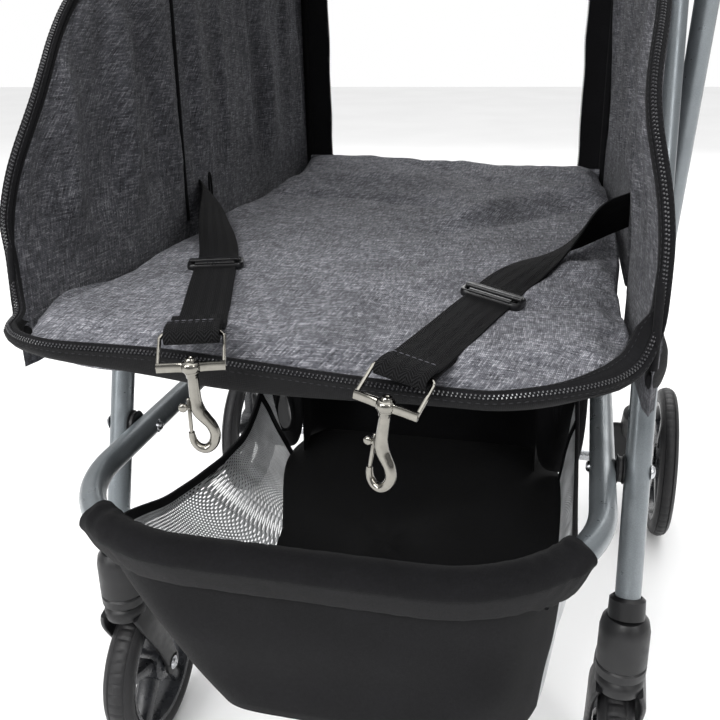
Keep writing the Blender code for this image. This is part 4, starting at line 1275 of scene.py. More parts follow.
def make_gussets():
    """Black corner pieces between net and back; the left one has a teardrop opening bound in tape."""
    for side, sign in SIDES.items():
        rows, size = [], 1.0 if side == "l" else 0.02
        for r in range(7):
            row = []
            for k, turn in enumerate(turns(48)):
                c, s = math.cos(turn), math.sin(turn)
                hole_x = 0.1230 + size * 0.0078 * c * (1 - 0.30 * s)
                hole = at(sign * hole_x, 0.3500, 0.1985 + size * 0.0215 * s)
                x = 0.1265 + 0.0215 * math.copysign(abs(c) ** 0.55, c)
                z = 0.2470 + 0.0880 * math.copysign(abs(s) ** 0.55, s)
                rim = at(sign * x, 0.3530 + 0.010 * ease((z - 0.20) / 0.13), z)
                row.append(hole.lerp(rim, r / 6) + Vector((0, 0.0012 * ripple(k * 0.3, r * 0.5, sign), 0)))
            rows.append(row)
        low, high = turn_of(MESH_REAR), turn_of(MESH_REAR - 0.016)
        seam = []
        for k in range(25):
            turn = low + (high - low) * k / 24
            p = basket_point(mirrored(sign, turn), 0.99 * k / 24)
            seam.append(p - Vector((sign * 0.0008, 0, 0)))
        tape = sweep(seam, slab(0.0050, 0.0009), ACROSS)
        parts, mats = [grid(rows, closed=True), tape], [M["black"], M["tape"]]
        if side == "l":
            parts.append(sweep(rows[0], circle(0.0013, 10), REARWARDS, cyclic=True))
            mats.append(M["tape"])
        gusset = make(f"basket_gusset_{side}", parts, mats, "frame", "black_fabric", sharp=80)
        thicken(gusset, CLOTH_THICKNESS)


def basket_tube_path():
    x, z, rear, front = BASKET_TUBE_X, BASKET_TUBE_Z, 0.430, 0.012
    outline = [at(-x, rear, z), at(-x, front, z), at(x, front, z), at(x, rear, z)]
    return rounded(outline, 0.090, 24)


def make_hem():
    """Black cloth rolled round the front of the basket tube, gathered at its ends."""
    line = even(basket_tube_path(), 0.003)
    line = [p for p in line if p.y < FRONT_Y + (0.037 if p.x < 0 else 0.056)]
    rings = []
    for i, p in enumerate(line):
        side, t = span(line, i).normalized().cross(UP), i / (len(line) - 1)
        near_end = max(bump(t, 0.0, 0.10), bump(t, 1.0, 0.10))
        ring = []
        for turn in turns(36):
            hang = 1 + (0.95 + 0.4 * near_end) * max(-math.sin(turn), 0.0) ** 1.6
            gather = 1 + (0.03 + 0.13 * near_end) * ripple(t * 55, math.cos(turn) * 1.6, math.sin(turn) * 1.6)
            radius = 0.0112 * gather
            inwards = 0.35 * max(-math.sin(turn), 0.0)
            drop = Vector((0, 0, radius * math.sin(turn) * hang))
            ring.append(p + side * (radius * (math.cos(turn) - inwards)) + drop)
        rings.append(ring)
    for order in (0, -1):
        middle = sum(rings[order], Vector()) / 36
        for shrink in (0.90, 0.78):
            ring = [middle + (q - middle) * shrink for q in (rings[0] if order == 0 else rings[-1])]
            if order == 0:
                rings.insert(0, ring)
            else:
                rings.append(ring)
    seam = [ring[27] + Vector((0, -0.0003, -0.0002)) for ring in rings[3:-3]]
    stitches = beads(seam, Vector((0, -0.4, -1)), (0.0013, 0.00028, 0.00028), 0.0038)
    hem = make("basket_hem", [grid(rings, closed=True), stitches], [M["black"], M["dark_thread"]], "frame",
               "black_fabric", sharp=70)


# ---------------------------------------------------------------- tethers
def tether(side):
    """The matrix of a tether's end, from the frame's own joints."""
    tilt, swivel = JOINTS[f"eye_tilt_{side}"], JOINTS[f"hook_swivel_{side}"]
    across = -Vector(tilt["axis"])
    up = Vector(swivel["axis"])
    along = up.cross(across)
    turn = Matrix((across, along, up)).transposed().to_4x4()
    return Matrix.Translation(Vector(tilt["pos_m"])) @ turn


def tether_anchor(side):
    """Where the strap goes into the side wall."""
    sign = SIDES[side]
    back = 0.300 if sign < 0 else 0.288
    return at(sign * (wall_half(sign, back) - 0.0012), back, 0.4110 if sign < 0 else 0.4080)


def strap_line(side):
    """The strap's centre line and facing, in world space, from the eye's bar to the wall."""
    frame_here = tether(side)
    rest = (FLOOR_Z + 0.0056) - frame_here.translation.z
    slider_y = (frame_here.inverted() @ middle_of(f"strap_slider_{side}")).y
    local = [(0, 0.0060, 0.0016), (0, 0.016, 0.0003), (0, 0.032, rest * 0.7), (0, 0.060, rest),
             (0, slider_y * 0.7, rest + 0.0006), (0, slider_y, rest + 0.0004),
             (0, slider_y + 0.03, rest + 0.0008)]
    points = [frame_here @ Vector(p) for p in local]
    for i, p in enumerate(points[2:], 2):
        lowest = FLOOR_Z + 0.0030 + max(floor_lift(p.x, p.y - FRONT_Y), 0.0) * 0.5
        points[i].z = max(p.z, lowest)
    anchor = tether_anchor(side)
    last = points[-1]
    points += [last.lerp(anchor, 0.40) + UP * 0.0010, last.lerp(anchor, 0.75) + UP * 0.0020,
               anchor + Vector((SIDES[side] * 0.004, 0, 0))]
    line = smooth_line(points, 0.002)
    across, facing = frame_here.to_3x3() @ ACROSS, []
    straight = next(i for i, p in enumerate(line) if (p - line[0]).length > slider_y + 0.018)
    for i, p in enumerate(line):
        along = span(line, i).normalized()
        normal = across.cross(along).normalized()
        most = math.radians(98.0 if side == "r" else 56.0)
        twist = ease(1.2 * (i - straight) / (len(line) - 1 - straight)) * most * -SIDES[side]
        facing.append(Matrix.Rotation(twist, 3, along) @ normal)
    return line, facing, slider_y, frame_here


def make_tethers():
    for side in SIDES:
        line, facing, slider_y, here = strap_line(side)
        strap = sweep(line, slab(STRAP_W, STRAP_T), facing)
        loop = 0.0013 + 0.0003 + STRAP_T / 2
        across = here.to_3x3() @ ACROSS
        wrap = [Vector((0, 0.0075, 0.0019)), Vector((0, 0.003, loop)), Vector((0, -0.001, loop + 0.0002))]
        wrap += [Vector((0, -0.0040 - loop * math.sin(t), loop * math.cos(t) - 0.0004)) for t in
                 [math.pi * k / 10 for k in range(11)]]
        wrap += [Vector((0, 0.004, -loop)), Vector((0, 0.014, -0.0014 - STRAP_T * 0.2)),
                 Vector((0, 0.030, -0.0022))]
        wrap = [here @ p for p in wrap]
        turned = [across.cross(span(wrap, i)).normalized() for i in range(len(wrap))]
        bend = sweep(wrap, slab(STRAP_W, STRAP_T), turned)
        under = [p - f * (STRAP_T + 0.0003) for p, f in zip(line, facing)]
        reach = [i for i, p in enumerate(line) if 0.010 < (p - line[0]).length < slider_y + 0.022]
        second = sweep([under[i] for i in reach], slab(STRAP_W, STRAP_T), [facing[i] for i in reach])
        rows = []
        for distance in (0.0075, 0.0105):
            middle = next(i for i, p in enumerate(line) if (p - line[0]).length >= distance - 0.006)
            p, f = line[middle], facing[middle]
            sideways = across * (STRAP_W / 2 - 0.0015)
            rows.append(beads([p - sideways + f * 0.0009, p + sideways + f * 0.0009], f,
                              (0.0012, 0.0003, 0.00028), 0.0030))
        make(f"tether_webbing_{side}", [strap, bend, second, *rows],
             [M["web"], M["web"], M["web"], M["thread"], M["thread"]], "frame", "black_fabric",
             f"tether_strap_{side}", sharp=45)
        make_slider(side, line, facing)
        make_eye(side, here)
        make_hook(side, here)


def make_slider(side, line, facing):
    """Tri-glide slider: a flat frame with a bar across its middle."""
    centre = middle_of(f"strap_slider_{side}")
    near = min(range(len(line)), key=lambda i: (line[i] - centre).length)
    along = (line[near + 2] - line[near - 2]).normalized()
    up = facing[near]
    across = along.cross(up).normalized()
    middle = line[near] + up * 0.0004
    turn = Matrix((across, along, up)).transposed().to_4x4()
    spot = Matrix.Translation(middle) @ turn
    half, tall = STRAP_W / 2 + 0.0032, 0.0066
    corners = [Vector((a * half, b * tall, 0)) for a, b in ((-1, -1), (1, -1), (1, 1), (-1, 1))]
    ring = rounded(corners, 0.0028, 6, True)
    border = sweep(ring, slab(0.0030, 0.0042, 0.0011), UP, cyclic=True)
    bar = sweep([Vector((-half, 0, 0.0026)), Vector((half, 0, 0.0026))], slab(0.0040, 0.0022, 0.0008), UP)
    lip = sweep([Vector((-half + 0.004, -tall, 0.0024)), Vector((half - 0.004, -tall, 0.0024))],
                slab(0.0034, 0.0018, 0.0007), UP)
    make(f"slider_buckle_{side}", [moved(part, spot) for part in (border, bar, lip)], M["gloss_plastic"],
         f"slider_{side}", "black_plastic", f"strap_slider_{side}")


def make_eye(side, here):
    """The hook's eye: thin wire sides, and a flat lower bar with the swivel's collar and rivet."""
    far = Vector((0, -EYE_LENGTH * math.cos(EYE_DIP), -EYE_LENGTH * math.sin(EYE_DIP)))
    wide = Vector((EYE_HALF, 0, 0))
    wire = rounded([-wide + far, -wide, wide, wide + far], 0.0030, 10)
    normal = Vector((0, -math.sin(EYE_DIP), math.cos(EYE_DIP)))
    frame_wire = sweep(smooth_line(wire, 0.0008), slab(0.0019, 0.0022, 0.0009), normal)
    ends = rounded([far - wide - Vector((0.0006, 0, 0)), far + wide + Vector((0.0006, 0, 0))], 0.001)
    bar_line = even(ends, 0.0015)
    thick = []
    for p in bar_line:
        near = bump(p.x, 0.0, 0.0042)
        thick.append((1.0 + 0.9 * near, 1.0 + 0.10 * near))
    bar = sweep(bar_line, slab(0.0021, 0.0044, 0.0008), UP, scale=thick)
    collar = lathe([(0, -0.0022), (0.0036, -0.0022), (0.0042, -0.0016), (0.0044, 0.0), (0.0042, 0.0018),
                    (0.0036, 0.0025), (0.0026, 0.0028), (0.0025, 0.0036), (0.0021, 0.0042), (0.0009, 0.0044),
                    (0.0007, 0.0040), (0, 0.0040)], far, (0, 0, 1), 36)
    make(f"eye_ring_{side}", [moved(part, here) for part in (frame_wire, bar, collar)], M["nickel"],
         f"eye_{side}", "bright_nickel", f"hook_eye_{side}", sharp=42)


def make_hook(side, here):
    """Swivel snap hook: flared collar, shank, swelling body and a loop with a notched tip."""
    drop = Vector((0, -EYE_LENGTH * math.cos(EYE_DIP), -EYE_LENGTH * math.sin(EYE_DIP) - 0.0016))
    spot = here @ Matrix.Translation(drop)
    route = (                        # x, z and half thickness, from the shank to the tip
        (0.0005, -0.0034, 0.0024), (0.0005, -0.0068, 0.0025), (0.0006, -0.0114, 0.0026),
        (0.0008, -0.0160, 0.0028), (0.0019, -0.0201, 0.0031), (0.0042, -0.0235, 0.0029),
        (0.0067, -0.0271, 0.0026), (0.0080, -0.0315, 0.0025), (0.0070, -0.0358, 0.0025),
        (0.0042, -0.0385, 0.0024), (0.0010, -0.0381, 0.0022), (-0.0014, -0.0356, 0.0019),
        (-0.0023, -0.0326, 0.0017), (-0.0025, -0.0301, 0.0014),
    )
    centre = smooth_line([Vector((x, 0, z)) for x, z, _ in route], 0.0007)
    radii = smooth_line([Vector((i, radius * 1000, 0)) for i, (_, _, radius) in enumerate(route)], 0.05)
    scale = []
    for i in range(len(centre)):
        radius = radii[round(i / (len(centre) - 1) * (len(radii) - 1))].y / 1000
        swell = 1.0 + 0.12 * ease((i / len(centre) - 0.35) / 0.2)
        scale.append((radius, radius * swell))
    body = sweep(centre, circle(1.0, 22), REARWARDS, scale=scale)
    tip = lathe([(0, 0.0004), (0.0009, 0.0002), (0.0013, -0.0004)], centre[-1], (0, 0, 1), 22)
    flare = lathe([(0, 0.0016), (0.0024, 0.0014), (0.0036, 0.0002), (0.0037, -0.0006), (0.0031, -0.0016),
                   (0.0027, -0.0024), (0.0027, -0.0034), (0.0022, -0.0040), (0, -0.0040)],
                  Vector((0.0002, 0, 0)), (0, 0, 1), 32)
    make(f"snap_hook_body_{side}", [moved(part, spot) for part in (body, flare, tip)], M["nickel"],
         f"hook_{side}", "bright_nickel", f"snap_hook_{side}", sharp=50)
    rod = lathe([(0, -0.0299), (0.0008, -0.0297), (0.0009, -0.0274), (0.0009, -0.0137), (0.0006, -0.0133),
                 (0, -0.0132)], Vector((-0.0025, 0, 0)), (0, 0, 1), 20)
    thumb = lathe([(0, -0.0014), (0.0014, -0.0014), (0.0020, -0.0009), (0.0021, 0.0), (0.0020, 0.0009),
                   (0.0014, 0.0014), (0, 0.0014)], Vector((-0.0052, 0, -0.0178)), (0, 1, 0), 28)
    neck = sweep([Vector((-0.0046, 0, -0.0178)), Vector((-0.0022, 0, -0.0182))], slab(0.0018, 0.0016), UP)
    make(f"hook_bolt_{side}", [moved(part, spot) for part in (rod, thumb, neck)], M["nickel"],
         f"trigger_{side}", "bright_nickel", f"hook_trigger_{side}", sharp=50)


# ---------------------------------------------------------------- frame tubes and fasteners
def screw(centre, axis, radius=0.0042, height=0.0030):
    """A domed screw head with a cross recess ring, on a washer."""
    profile = [(0, height * 0.70), (radius * 0.30, height * 0.62), (radius * 0.36, height * 0.95),
               (radius * 0.70, height * 0.85), (radius * 0.94, height * 0.50), (radius, height * 0.12),
               (radius * 1.28, height * 0.10), (radius * 1.30, 0.0), (0, 0)]
    return lathe(profile, centre, axis, 28)


def make_tubes():
    tubes = []
    for side, sign in SIDES.items():
        low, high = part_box(f"front_leg_{side}")
        path = [at(sign * LEG_X, leg_back(z), z) for z in (low.z + 0.0024, high.z - 0.0024)]
        tubes.append((f"leg_tube_{side}", path, TUBE_R, f"front_leg_{side}"))
        low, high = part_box(f"seat_rail_{side}")
        path = [Vector((sign * RAIL_X, y, 0.3445)) for y in (low.y, high.y)]
        tubes.append((f"rail_tube_{side}", path, 0.007, f"seat_rail_{side}"))
        low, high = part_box(f"rear_strut_{side}")
        path = [Vector((sign * LEG_X, low.y + 0.0048, high.z - 0.0036)),
                Vector((sign * LEG_X, high.y - 0.0048, low.z + 0.0036))]
        tubes.append((f"strut_tube_{side}", path, 0.006, f"rear_strut_{side}"))
    for name in ("seat_cross_front", "seat_cross_rear"):
        low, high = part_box(name)
        y, z = (low.y + high.y) / 2, (low.z + high.z) / 2
        tubes.append((f"{name}_tube", [Vector((low.x, y, z)), Vector((high.x, y, z))], 0.006, name))
    tubes.append(("basket_frame_tube", basket_tube_path(), TUBE_R, "basket_tube"))
    for name, path, radius, node in tubes:
        make(name, tube(even(path, 0.006), radius, 32), M["paint"], "frame", "silver_paint", node)
    for side, sign in SIDES.items():
        heads = []
        for z in (BASKET_TUBE_Z, 0.365):
            heads.append(screw(at(sign * (LEG_X + TUBE_R - 0.0004), leg_back(z), z), (sign, 0, 0)))
        place_in = at(sign * (BASKET_TUBE_X - TUBE_R + 0.0004), leg_back(BASKET_TUBE_Z), BASKET_TUBE_Z)
        heads.append(screw(place_in, (-sign, 0, 0), 0.0036, 0.0026))
        heads.append(screw(at(sign * RAIL_X, 0.300, 0.3375), (0, 0, -1), 0.0032))
        make(f"frame_screws_{side}", heads, M["zinc"], "frame", "bright_nickel")
        z, inner, outer = BASKET_TUBE_Z, BASKET_TUBE_X + TUBE_R, LEG_X - TUBE_R
        profile = [(0, inner), (0.0085, inner), (0.0094, inner + 0.0008), (0.0080, inner + 0.0018),
                   (0.0080, outer - 0.0018), (0.0094, outer - 0.0008), (0.0085, outer), (0, outer)]
        make(f"spacer_{side}", lathe(profile, at(0, leg_back(z), z), (sign, 0, 0), 36), M["black_plastic"],
             "frame", "black_plastic", f"leg_spacer_{side}")


def round_hub(x, radius, turn):
    """A point round the hub's axis."""
    return Vector((x, HUB.y + radius * math.cos(turn), HUB.z + radius * math.sin(turn)))


def make_hubs():
    """Side hubs on the legs, handle hubs outside them, and the lock buttons."""
    for side, sign in SIDES.items():
        low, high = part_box(f"side_hub_{side}")
        inner = min(abs(low.x), abs(high.x))
        profile = [(0, inner), (0.020, inner), (0.0265, inner + 0.0006), (0.0295, inner + 0.0026),
                   (0.0300, inner + 0.0050), (0.0286, inner + 0.0060), (0.0300, inner + 0.0070),
                   (0.0300, inner + 0.0140), (0.0280, inner + 0.0168), (0.022, inner + 0.0170),
                   (0.0205, inner + 0.0150), (0.013, inner + 0.0150), (0.0112, inner + 0.0170),
                   (0.0108, inner + 0.0250), (0.0040, inner + 0.0250), (0.0040, inner + 0.0505),
                   (0, inner + 0.0505)]
        cap = lathe(profile, HUB_AXIS, (sign, 0, 0), 64)
        sleeve = lathe([(0.0088, 0.0), (0.0115, 0.001), (0.0118, 0.012), (0.0090, 0.014)],
                       at(sign * LEG_X, leg_back(HUB.z - 0.0420), HUB.z - 0.0420), (0, LEG_SLOPE, 1), 32)
        make(f"hub_cover_{side}", [cap, sleeve], M["black_plastic"], "frame", "black_plastic",
             f"side_hub_{side}")
        screws = [screw(round_hub(sign * (inner + 0.0002), 0.021, a), (-sign, 0, 0), 0.0026, 0.0018)
                  for a in (0.6, 2.7, 4.8)]
        make(f"hub_screws_{side}", screws, M["zinc"], "frame", "bright_nickel")
        low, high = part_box(f"handle_hub_{side}")
        inner, outer = min(abs(low.x), abs(high.x)), max(abs(low.x), abs(high.x))
        profile = [(0.0044, inner), (0.0270, inner), (0.0296, inner + 0.0020), (0.0300, inner + 0.0060),
                   (0.0300, outer - 0.0045), (0.0280, outer - 0.0015), (0.0235, outer),
                   (0.0180, outer - 0.0004), (0.0166, outer - 0.0020), (0.0166, inner + 0.0085),
                   (0.0044, inner + 0.0085)]

        def ribs(turn, radius, along, top=inner + 0.0015):
            rib = radius > 0.0290 and along > top
            return radius - (0.0007 * max(math.cos(turn * 22), 0.0) if rib else 0.0)

        shell = lathe(profile, HUB_AXIS, (sign, 0, 0), 176, ribs)
        direction = Vector((0, HANDLE_BEND[0] - HUB_BACK, HANDLE_BEND[1] - HUB.z)).normalized()
        profile = [(0.0088, 0.024), (0.0122, 0.0255), (0.0120, 0.045), (0.0105, 0.048), (0.0086, 0.0482)]
        socket = lathe(profile, HUB_AXIS + ACROSS * (sign * HANDLE_X), direction, 32)
        make(f"fold_hub_{side}", [shell, socket], M["black_plastic"], "handle", "black_plastic",
             f"handle_hub_{side}")
        low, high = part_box(f"lock_button_{side}")
        inner, outer = min(abs(low.x), abs(high.x)), max(abs(low.x), abs(high.x))
        profile = [(0, inner), (0.0158, inner), (0.0160, inner + 0.0030), (0.0158, outer - 0.0014),
                   (0.0146, outer - 0.0002), (0.0128, outer), (0.0112, outer - 0.0006),
                   (0.0080, outer - 0.0012),
                   (0.0040, outer - 0.0014), (0, outer - 0.0014)]
        button = lathe(profile, HUB_AXIS, (sign, 0, 0), 56)
        dots = [lathe([(0.0013, 0.0), (0.0010, 0.0006), (0, 0.0008)],
                      round_hub(sign * (outer - 0.0013), 0.006, a), (sign, 0, 0), 14)
                for a in (math.pi / 2, math.pi * 7 / 6, math.pi * 11 / 6)]
        make(f"fold_button_{side}", [button, *dots], M["grey_plastic"], f"lock_{side}", "grey_plastic",
             f"lock_button_{side}")


def make_handle():
    direction = Vector((0, HANDLE_BEND[0] - HUB_BACK, HANDLE_BEND[1] - HUB.z)).normalized()
    start = HUB + direction * 0.0305
    bend, top = at(0, *HANDLE_BEND), at(0, 0.728, 0.983)
    places = [(-1, start), (-1, bend), (-1, top), (1, top), (1, bend), (1, start)]
    outline = [Vector((sign * HANDLE_X, p.y, p.z)) for sign, p in places]
    make("handle_bar", tube(even(rounded(outline, 0.055, 14), 0.006), TUBE_R, 32), M["paint"], "handle",
         "silver_paint", "handle_tube")
    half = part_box("handle_grip")[1].x
    profile = [(0.0084, -half), (0.0120, -half + 0.0004), (0.0146, -half + 0.0026), (0.0155, -half + 0.008)]
    for k in range(33):
        groove = 0.0006 * (1 + math.cos(2 * math.pi * k / 8)) * 0.5
        profile.append((0.0155 - groove, -half + 0.012 + k * (2 * half - 0.024) / 32))
    profile += [(0.0155, half - 0.008), (0.0146, half - 0.0026), (0.0120, half - 0.0004), (0.0084, half)]
    make("foam_grip", lathe(profile, top, (1, 0, 0), 48), M["foam"], "handle", "foam_grip", "handle_grip")


# ---------------------------------------------------------------- rear legs, brakes, wheels and casters
def make_rear_legs():
    along = (AXLE - HUB_AXIS).normalized()
    normal = Vector((0, -along.z, along.y))
    for side, sign in SIDES.items():
        x = Vector((sign * REAR_LEG_X, 0, 0))
        leg = tube(even([HUB_AXIS + x + along * 0.0140, AXLE + x - along * 0.0620], 0.01), TUBE_R, 32)
        eye = lathe([(0.0044, -0.0076), (0.0142, -0.0078), (0.0150, -0.0068), (0.0150, 0.0068),
                     (0.0142, 0.0078), (0.0044, 0.0076), (0.0044, -0.0076)], HUB_AXIS + x, (sign, 0, 0), 48)
        make(f"rear_leg_tube_{side}", [leg, eye], M["paint"], "rear_frame", "silver_paint",
             f"rear_leg_{side}")
        make_bracket(side, sign, along, normal)
    make_axle()


def make_bracket(side, sign, along, normal):
    """Rounded plastic foot with a rim and a recess on both faces."""
    inner, outer = 0.1785, 0.2225
    layers = ((0.0, 0.55), (0.0, 0.86), (0.0009, 0.97), (0.0024, 1.0), (0.0060, 1.0))
    depths = [(inner + d, s) for d, s in layers] + [(outer - d, s) for d, s in reversed(layers)]
    rings = []
    for x, shrink in depths:
        sunk = 0.0022 if shrink == 0.55 else 0.0
        x += sunk if x < 0.19 else -sunk
        ring = []
        for turn in turns(40):
            reach = FOOT_R if math.sin(turn) > 0 else FOOT_R + 0.0420 * abs(math.sin(turn)) ** 1.5
            narrow = FOOT_R * math.cos(turn) * (1 - 0.22 * max(-math.sin(turn), 0))
            p = normal * narrow + along * (reach * math.sin(turn))
            ring.append(AXLE + p * shrink + Vector((sign * x, 0, 0)))
        rings.append(ring)
    socket = lathe([(0.0086, 0.0), (0.0128, 0.0010), (0.0138, 0.022), (0.0130, 0.030)],
                   AXLE + Vector((sign * REAR_LEG_X, 0, 0)) - along * 0.0800, along, 36)
    make(f"wheel_foot_{side}", [capped(rings), socket], M["black_plastic"], "rear_frame", "black_plastic",
         f"wheel_bracket_{side}", sharp=45)
    pivot = Vector(JOINTS[f"brake_press_{side}"]["pos_m"])
    ring_points = []
    arc = [math.radians(30 + 285 * k / 20) for k in range(21)]
    outline = [(0.0058 * math.cos(a), 0.0058 * math.sin(a)) for a in arc]
    outline += [(0.014, -0.0085), (0.026, -0.0105), (0.0345, -0.0098), (0.0360, -0.0082), (0.0345, -0.0062),
                (0.026, -0.0052), (0.014, -0.0025)]
    for x, shrink in ((0.1862, 0.90), (0.1868, 1.0), (0.2208, 1.0), (0.2214, 0.90)):
        middle = (0.010, -0.004)
        ring_points.append([Vector((sign * x, pivot.y + middle[0] + (y - middle[0]) * shrink,
                                    pivot.z + middle[1] + (z - middle[1]) * shrink)) for y, z in outline])
    treads = []
    for d in (0.019, 0.0225, 0.026, 0.0295):
        path = [Vector((sign * x, pivot.y + d, pivot.z - 0.0052)) for x in (0.1885, 0.2190)]
        treads.append(sweep(path, slab(0.0016, 0.0014), UP))
    make(f"brake_lever_{side}", [capped(ring_points), *treads], M["grey_plastic"], f"brake_{side}",
         "grey_plastic", f"brake_pedal_{side}", sharp=40)


def make_axle():
    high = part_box("rear_axle")[1].x
    half = [(0.0068, 0.0), (0.0070, 0.1765), (0.0060, 0.1775), (0.0040, 0.1775), (0.0040, high - 0.0060),
            (0.0082, high - 0.0056), (0.0090, high - 0.0040), (0.0084, high - 0.0018),
            (0.0055, high - 0.0003), (0, high)]
    parts = [lathe(half, AXLE, (sign, 0, 0), 40) for sign in (-1, 1)]
    make("axle_rod", parts, M["zinc"], "rear_frame", "bright_nickel", "rear_axle")


def wheel_parts(centre, sign, radius, width, spokes=5):
    """Hub, ribbed spokes and rim of a moulded wheel; sign is the outer side."""
    half, rim = width / 2, radius * 0.80
    hub = lathe([(0.0044, -half * 1.0), (radius * 0.20, -half * 1.0), (radius * 0.24, -half * 0.85),
                 (radius * 0.25, 0), (radius * 0.25, half * 0.8), (radius * 0.22, half * 1.02),
                 (radius * 0.14, half * 1.08), (0.0044, half * 1.08)], centre, (sign, 0, 0), 48)
    flange = [(rim, half * 0.84), (rim * 0.965, half * 0.86), (rim * 0.93, half * 0.80),
              (rim * 0.90, half * 0.30)]
    inner_face = [(r, -x) for r, x in flange]
    ring = lathe([*inner_face, (rim * 0.89, 0), *reversed(flange)], centre, (sign, 0, 0), 96)
    parts = [hub, ring]
    for k in range(spokes):
        turn = 2 * math.pi * k / spokes + 0.3
        arm = Vector((0, math.cos(turn), math.sin(turn)))
        line = [centre + arm * (radius * f) for f in (0.20, 0.30, 0.42, 0.55, 0.66, 0.74)]
        scale = [(1.25, 1.0), (1.05, 1.0), (0.88, 0.92), (0.82, 0.86), (0.95, 0.86), (1.2, 0.9)]
        parts.append(sweep(line, slab(radius * 0.16, width * 0.66, width * 0.12), ACROSS, scale=scale))
        out = Vector((sign * width * 0.33, 0, 0))
        ridge = [centre + arm * (radius * f) + out for f in (0.22, 0.45, 0.74)]
        parts.append(sweep(ridge, slab(radius * 0.05, width * 0.16, width * 0.05), ACROSS))
    return parts


def tyre_part(centre, sign, radius, width):
    """Foam tyre with two grooves and shallow cross sipes."""
    half, inner = width / 2, radius * 0.80 + 0.0003
    outline = [(inner, half * 0.80), (radius * 0.85, half * 0.95), (radius * 0.89, half),
               (radius * 0.93, half * 0.95), (radius * 0.96, half * 0.80), (radius * 0.98, half * 0.60),
               (radius * 0.972, half * 0.50), (radius * 0.992, half * 0.38), (radius, 0.0)]
    profile = outline + [(r, -x) for r, x in reversed(outline[:-1])]

    def sipes(turn, r, along):
        cut = 0.0008 if r > radius * 0.98 and math.cos(turn * 48) > 0.82 else 0.0
        return r - cut

    return lathe(profile, centre, (sign, 0, 0), 288, sipes)


def make_wheels():
    for side, sign in SIDES.items():
        for name, body in (("rear", f"rear_wheel_{side}"), ("front", f"front_wheel_{side}")):
            low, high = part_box(f"{name}_tyre_{side}")
            centre = middle_of(f"{name}_tyre_{side}")
            radius, width = centre.z, high.x - low.x
            make(f"{name}_wheel_{side}", wheel_parts(centre, sign, radius, width), M["grey_plastic"], body,
                 "grey_plastic", f"{name}_rim_{side}", sharp=42)
            make(f"{name}_tread_{side}", tyre_part(centre, sign, radius, width), M["tyre"], body, "tyre",
                 f"{name}_tyre_{side}", sharp=50)


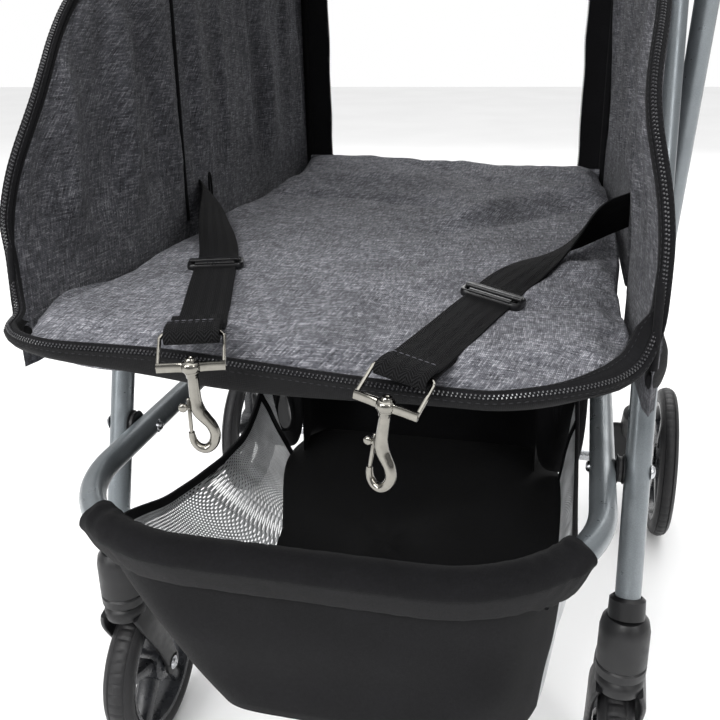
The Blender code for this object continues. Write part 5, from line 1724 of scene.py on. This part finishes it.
def make_casters():
    for side in SIDES:
        low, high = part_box(f"caster_housing_{side}")
        stem = Vector(((low.x + high.x) / 2, (low.y + high.y) / 2, 0))
        profile = [(0.0053, low.z), (0.0135, low.z), (0.0158, low.z + 0.0020), (0.0160, low.z + 0.0080),
                   (0.0150, low.z + 0.0092), (0.0160, low.z + 0.0104), (0.0158, high.z - 0.010),
                   (0.0146, high.z - 0.004), (0.0118, high.z - 0.0004), (0.0088, high.z)]
        housing = lathe(profile, stem, UP, 56)
        neck = lathe([(0.0088, 0.0), (0.0116, 0.0004), (0.0112, 0.012), (0.0088, 0.014)],
                     Vector((stem.x, stem.y, high.z - 0.002)), (0, LEG_SLOPE, 1), 36)
        make(f"caster_socket_{side}", [housing, neck], M["black_plastic"], "frame", "black_plastic",
             f"caster_housing_{side}")
        low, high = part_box(f"front_tyre_{side}")
        wheel = middle_of(f"front_tyre_{side}")
        half = (high.x - low.x) / 2 + 0.0022
        crown = lathe([(0.0048, 0.1720), (0.0050, 0.1396), (0.0128, 0.1394), (0.0150, 0.1370),
                       (0.0155, 0.1330), (0.0148, 0.1296), (0, 0.1290)], stem, UP, 48)
        parts, drop = [crown], Vector((0, wheel.y - stem.y, 0))
        for way in (-1, 1):
            x = Vector((way * (half + 0.0019), 0, 0))
            line = smooth_line([stem + x * 0.80 + UP * 0.1345, stem + x + drop * 0.14 + UP * 0.122,
                                stem + x + drop * 0.62 + UP * 0.093, wheel + x + UP * 0.002], 0.004)
            scale = [(1 - 0.42 * ease(i / (len(line) - 1)), 1.0) for i in range(len(line))]
            parts.append(sweep(line, slab(0.0260, 0.0038, 0.0015), Vector((way, 0, 0)), scale=scale))
            profile = [(0, -0.0019), (0.0078, -0.0019), (0.0092, -0.0012), (0.0092, 0.0012),
                       (0.0078, 0.0019), (0, 0.0019)]
            parts.append(lathe(profile, wheel + x, (way, 0, 0), 36))
        make(f"fork_{side}", parts, M["black_plastic"], f"caster_{side}", "black_plastic",
             f"caster_fork_{side}", sharp=45)
        reach = half + 0.0036
        bolt = [screw(wheel + Vector((way * reach, 0, 0)), (way, 0, 0), 0.0042, 0.0022) for way in (-1, 1)]
        bolt.append(tube([wheel - Vector((reach, 0, 0)), wheel + Vector((reach, 0, 0))], 0.0038, 20))
        make(f"fork_bolt_{side}", bolt, M["zinc"], f"caster_{side}", "bright_nickel")


def make_board():
    """The stiff board under the cushion, set back from the front, with rounded edges."""
    low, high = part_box("floor_board")
    rings = []
    for inset, z in ((0.0016, low.z), (0.0, low.z + 0.0010), (0.0, high.z - 0.0010), (0.0016, high.z)):
        ring = [(x, back) for x, back in front_edge(-0.080 - inset) if back < 0.120]
        sides = [0.125 + (0.540 - inset - 0.125) * k / 8 for k in range(9)]
        ring += [(cabin_half(back) - 0.006 - inset, back) for back in sides]
        ring += [(-cabin_half(back) + 0.006 + inset, back) for back in reversed(sides)]
        rings.append([at(x, back, z) for x, back in ring])
    ribs = [sweep([at(x, 0.12, low.z - 0.0012), at(x, 0.52, low.z - 0.0012)], slab(0.004, 0.0024), UP)
            for x in (-0.11, -0.075, -0.04, 0.0, 0.04, 0.075, 0.11)]
    make("seat_board", [capped(rings), *ribs], M["black_plastic"], "frame", "black_plastic", "floor_board",
         sharp=45)


# ---------------------------------------------------------------- build
make_camera()
make_studio()
make_cushion()
make_zip()
make_band()
make_walls()
make_hood()
make_basket()
make_tethers()
make_tubes()
make_hubs()
make_handle()
make_rear_legs()
make_wheels()
make_casters()
make_board()
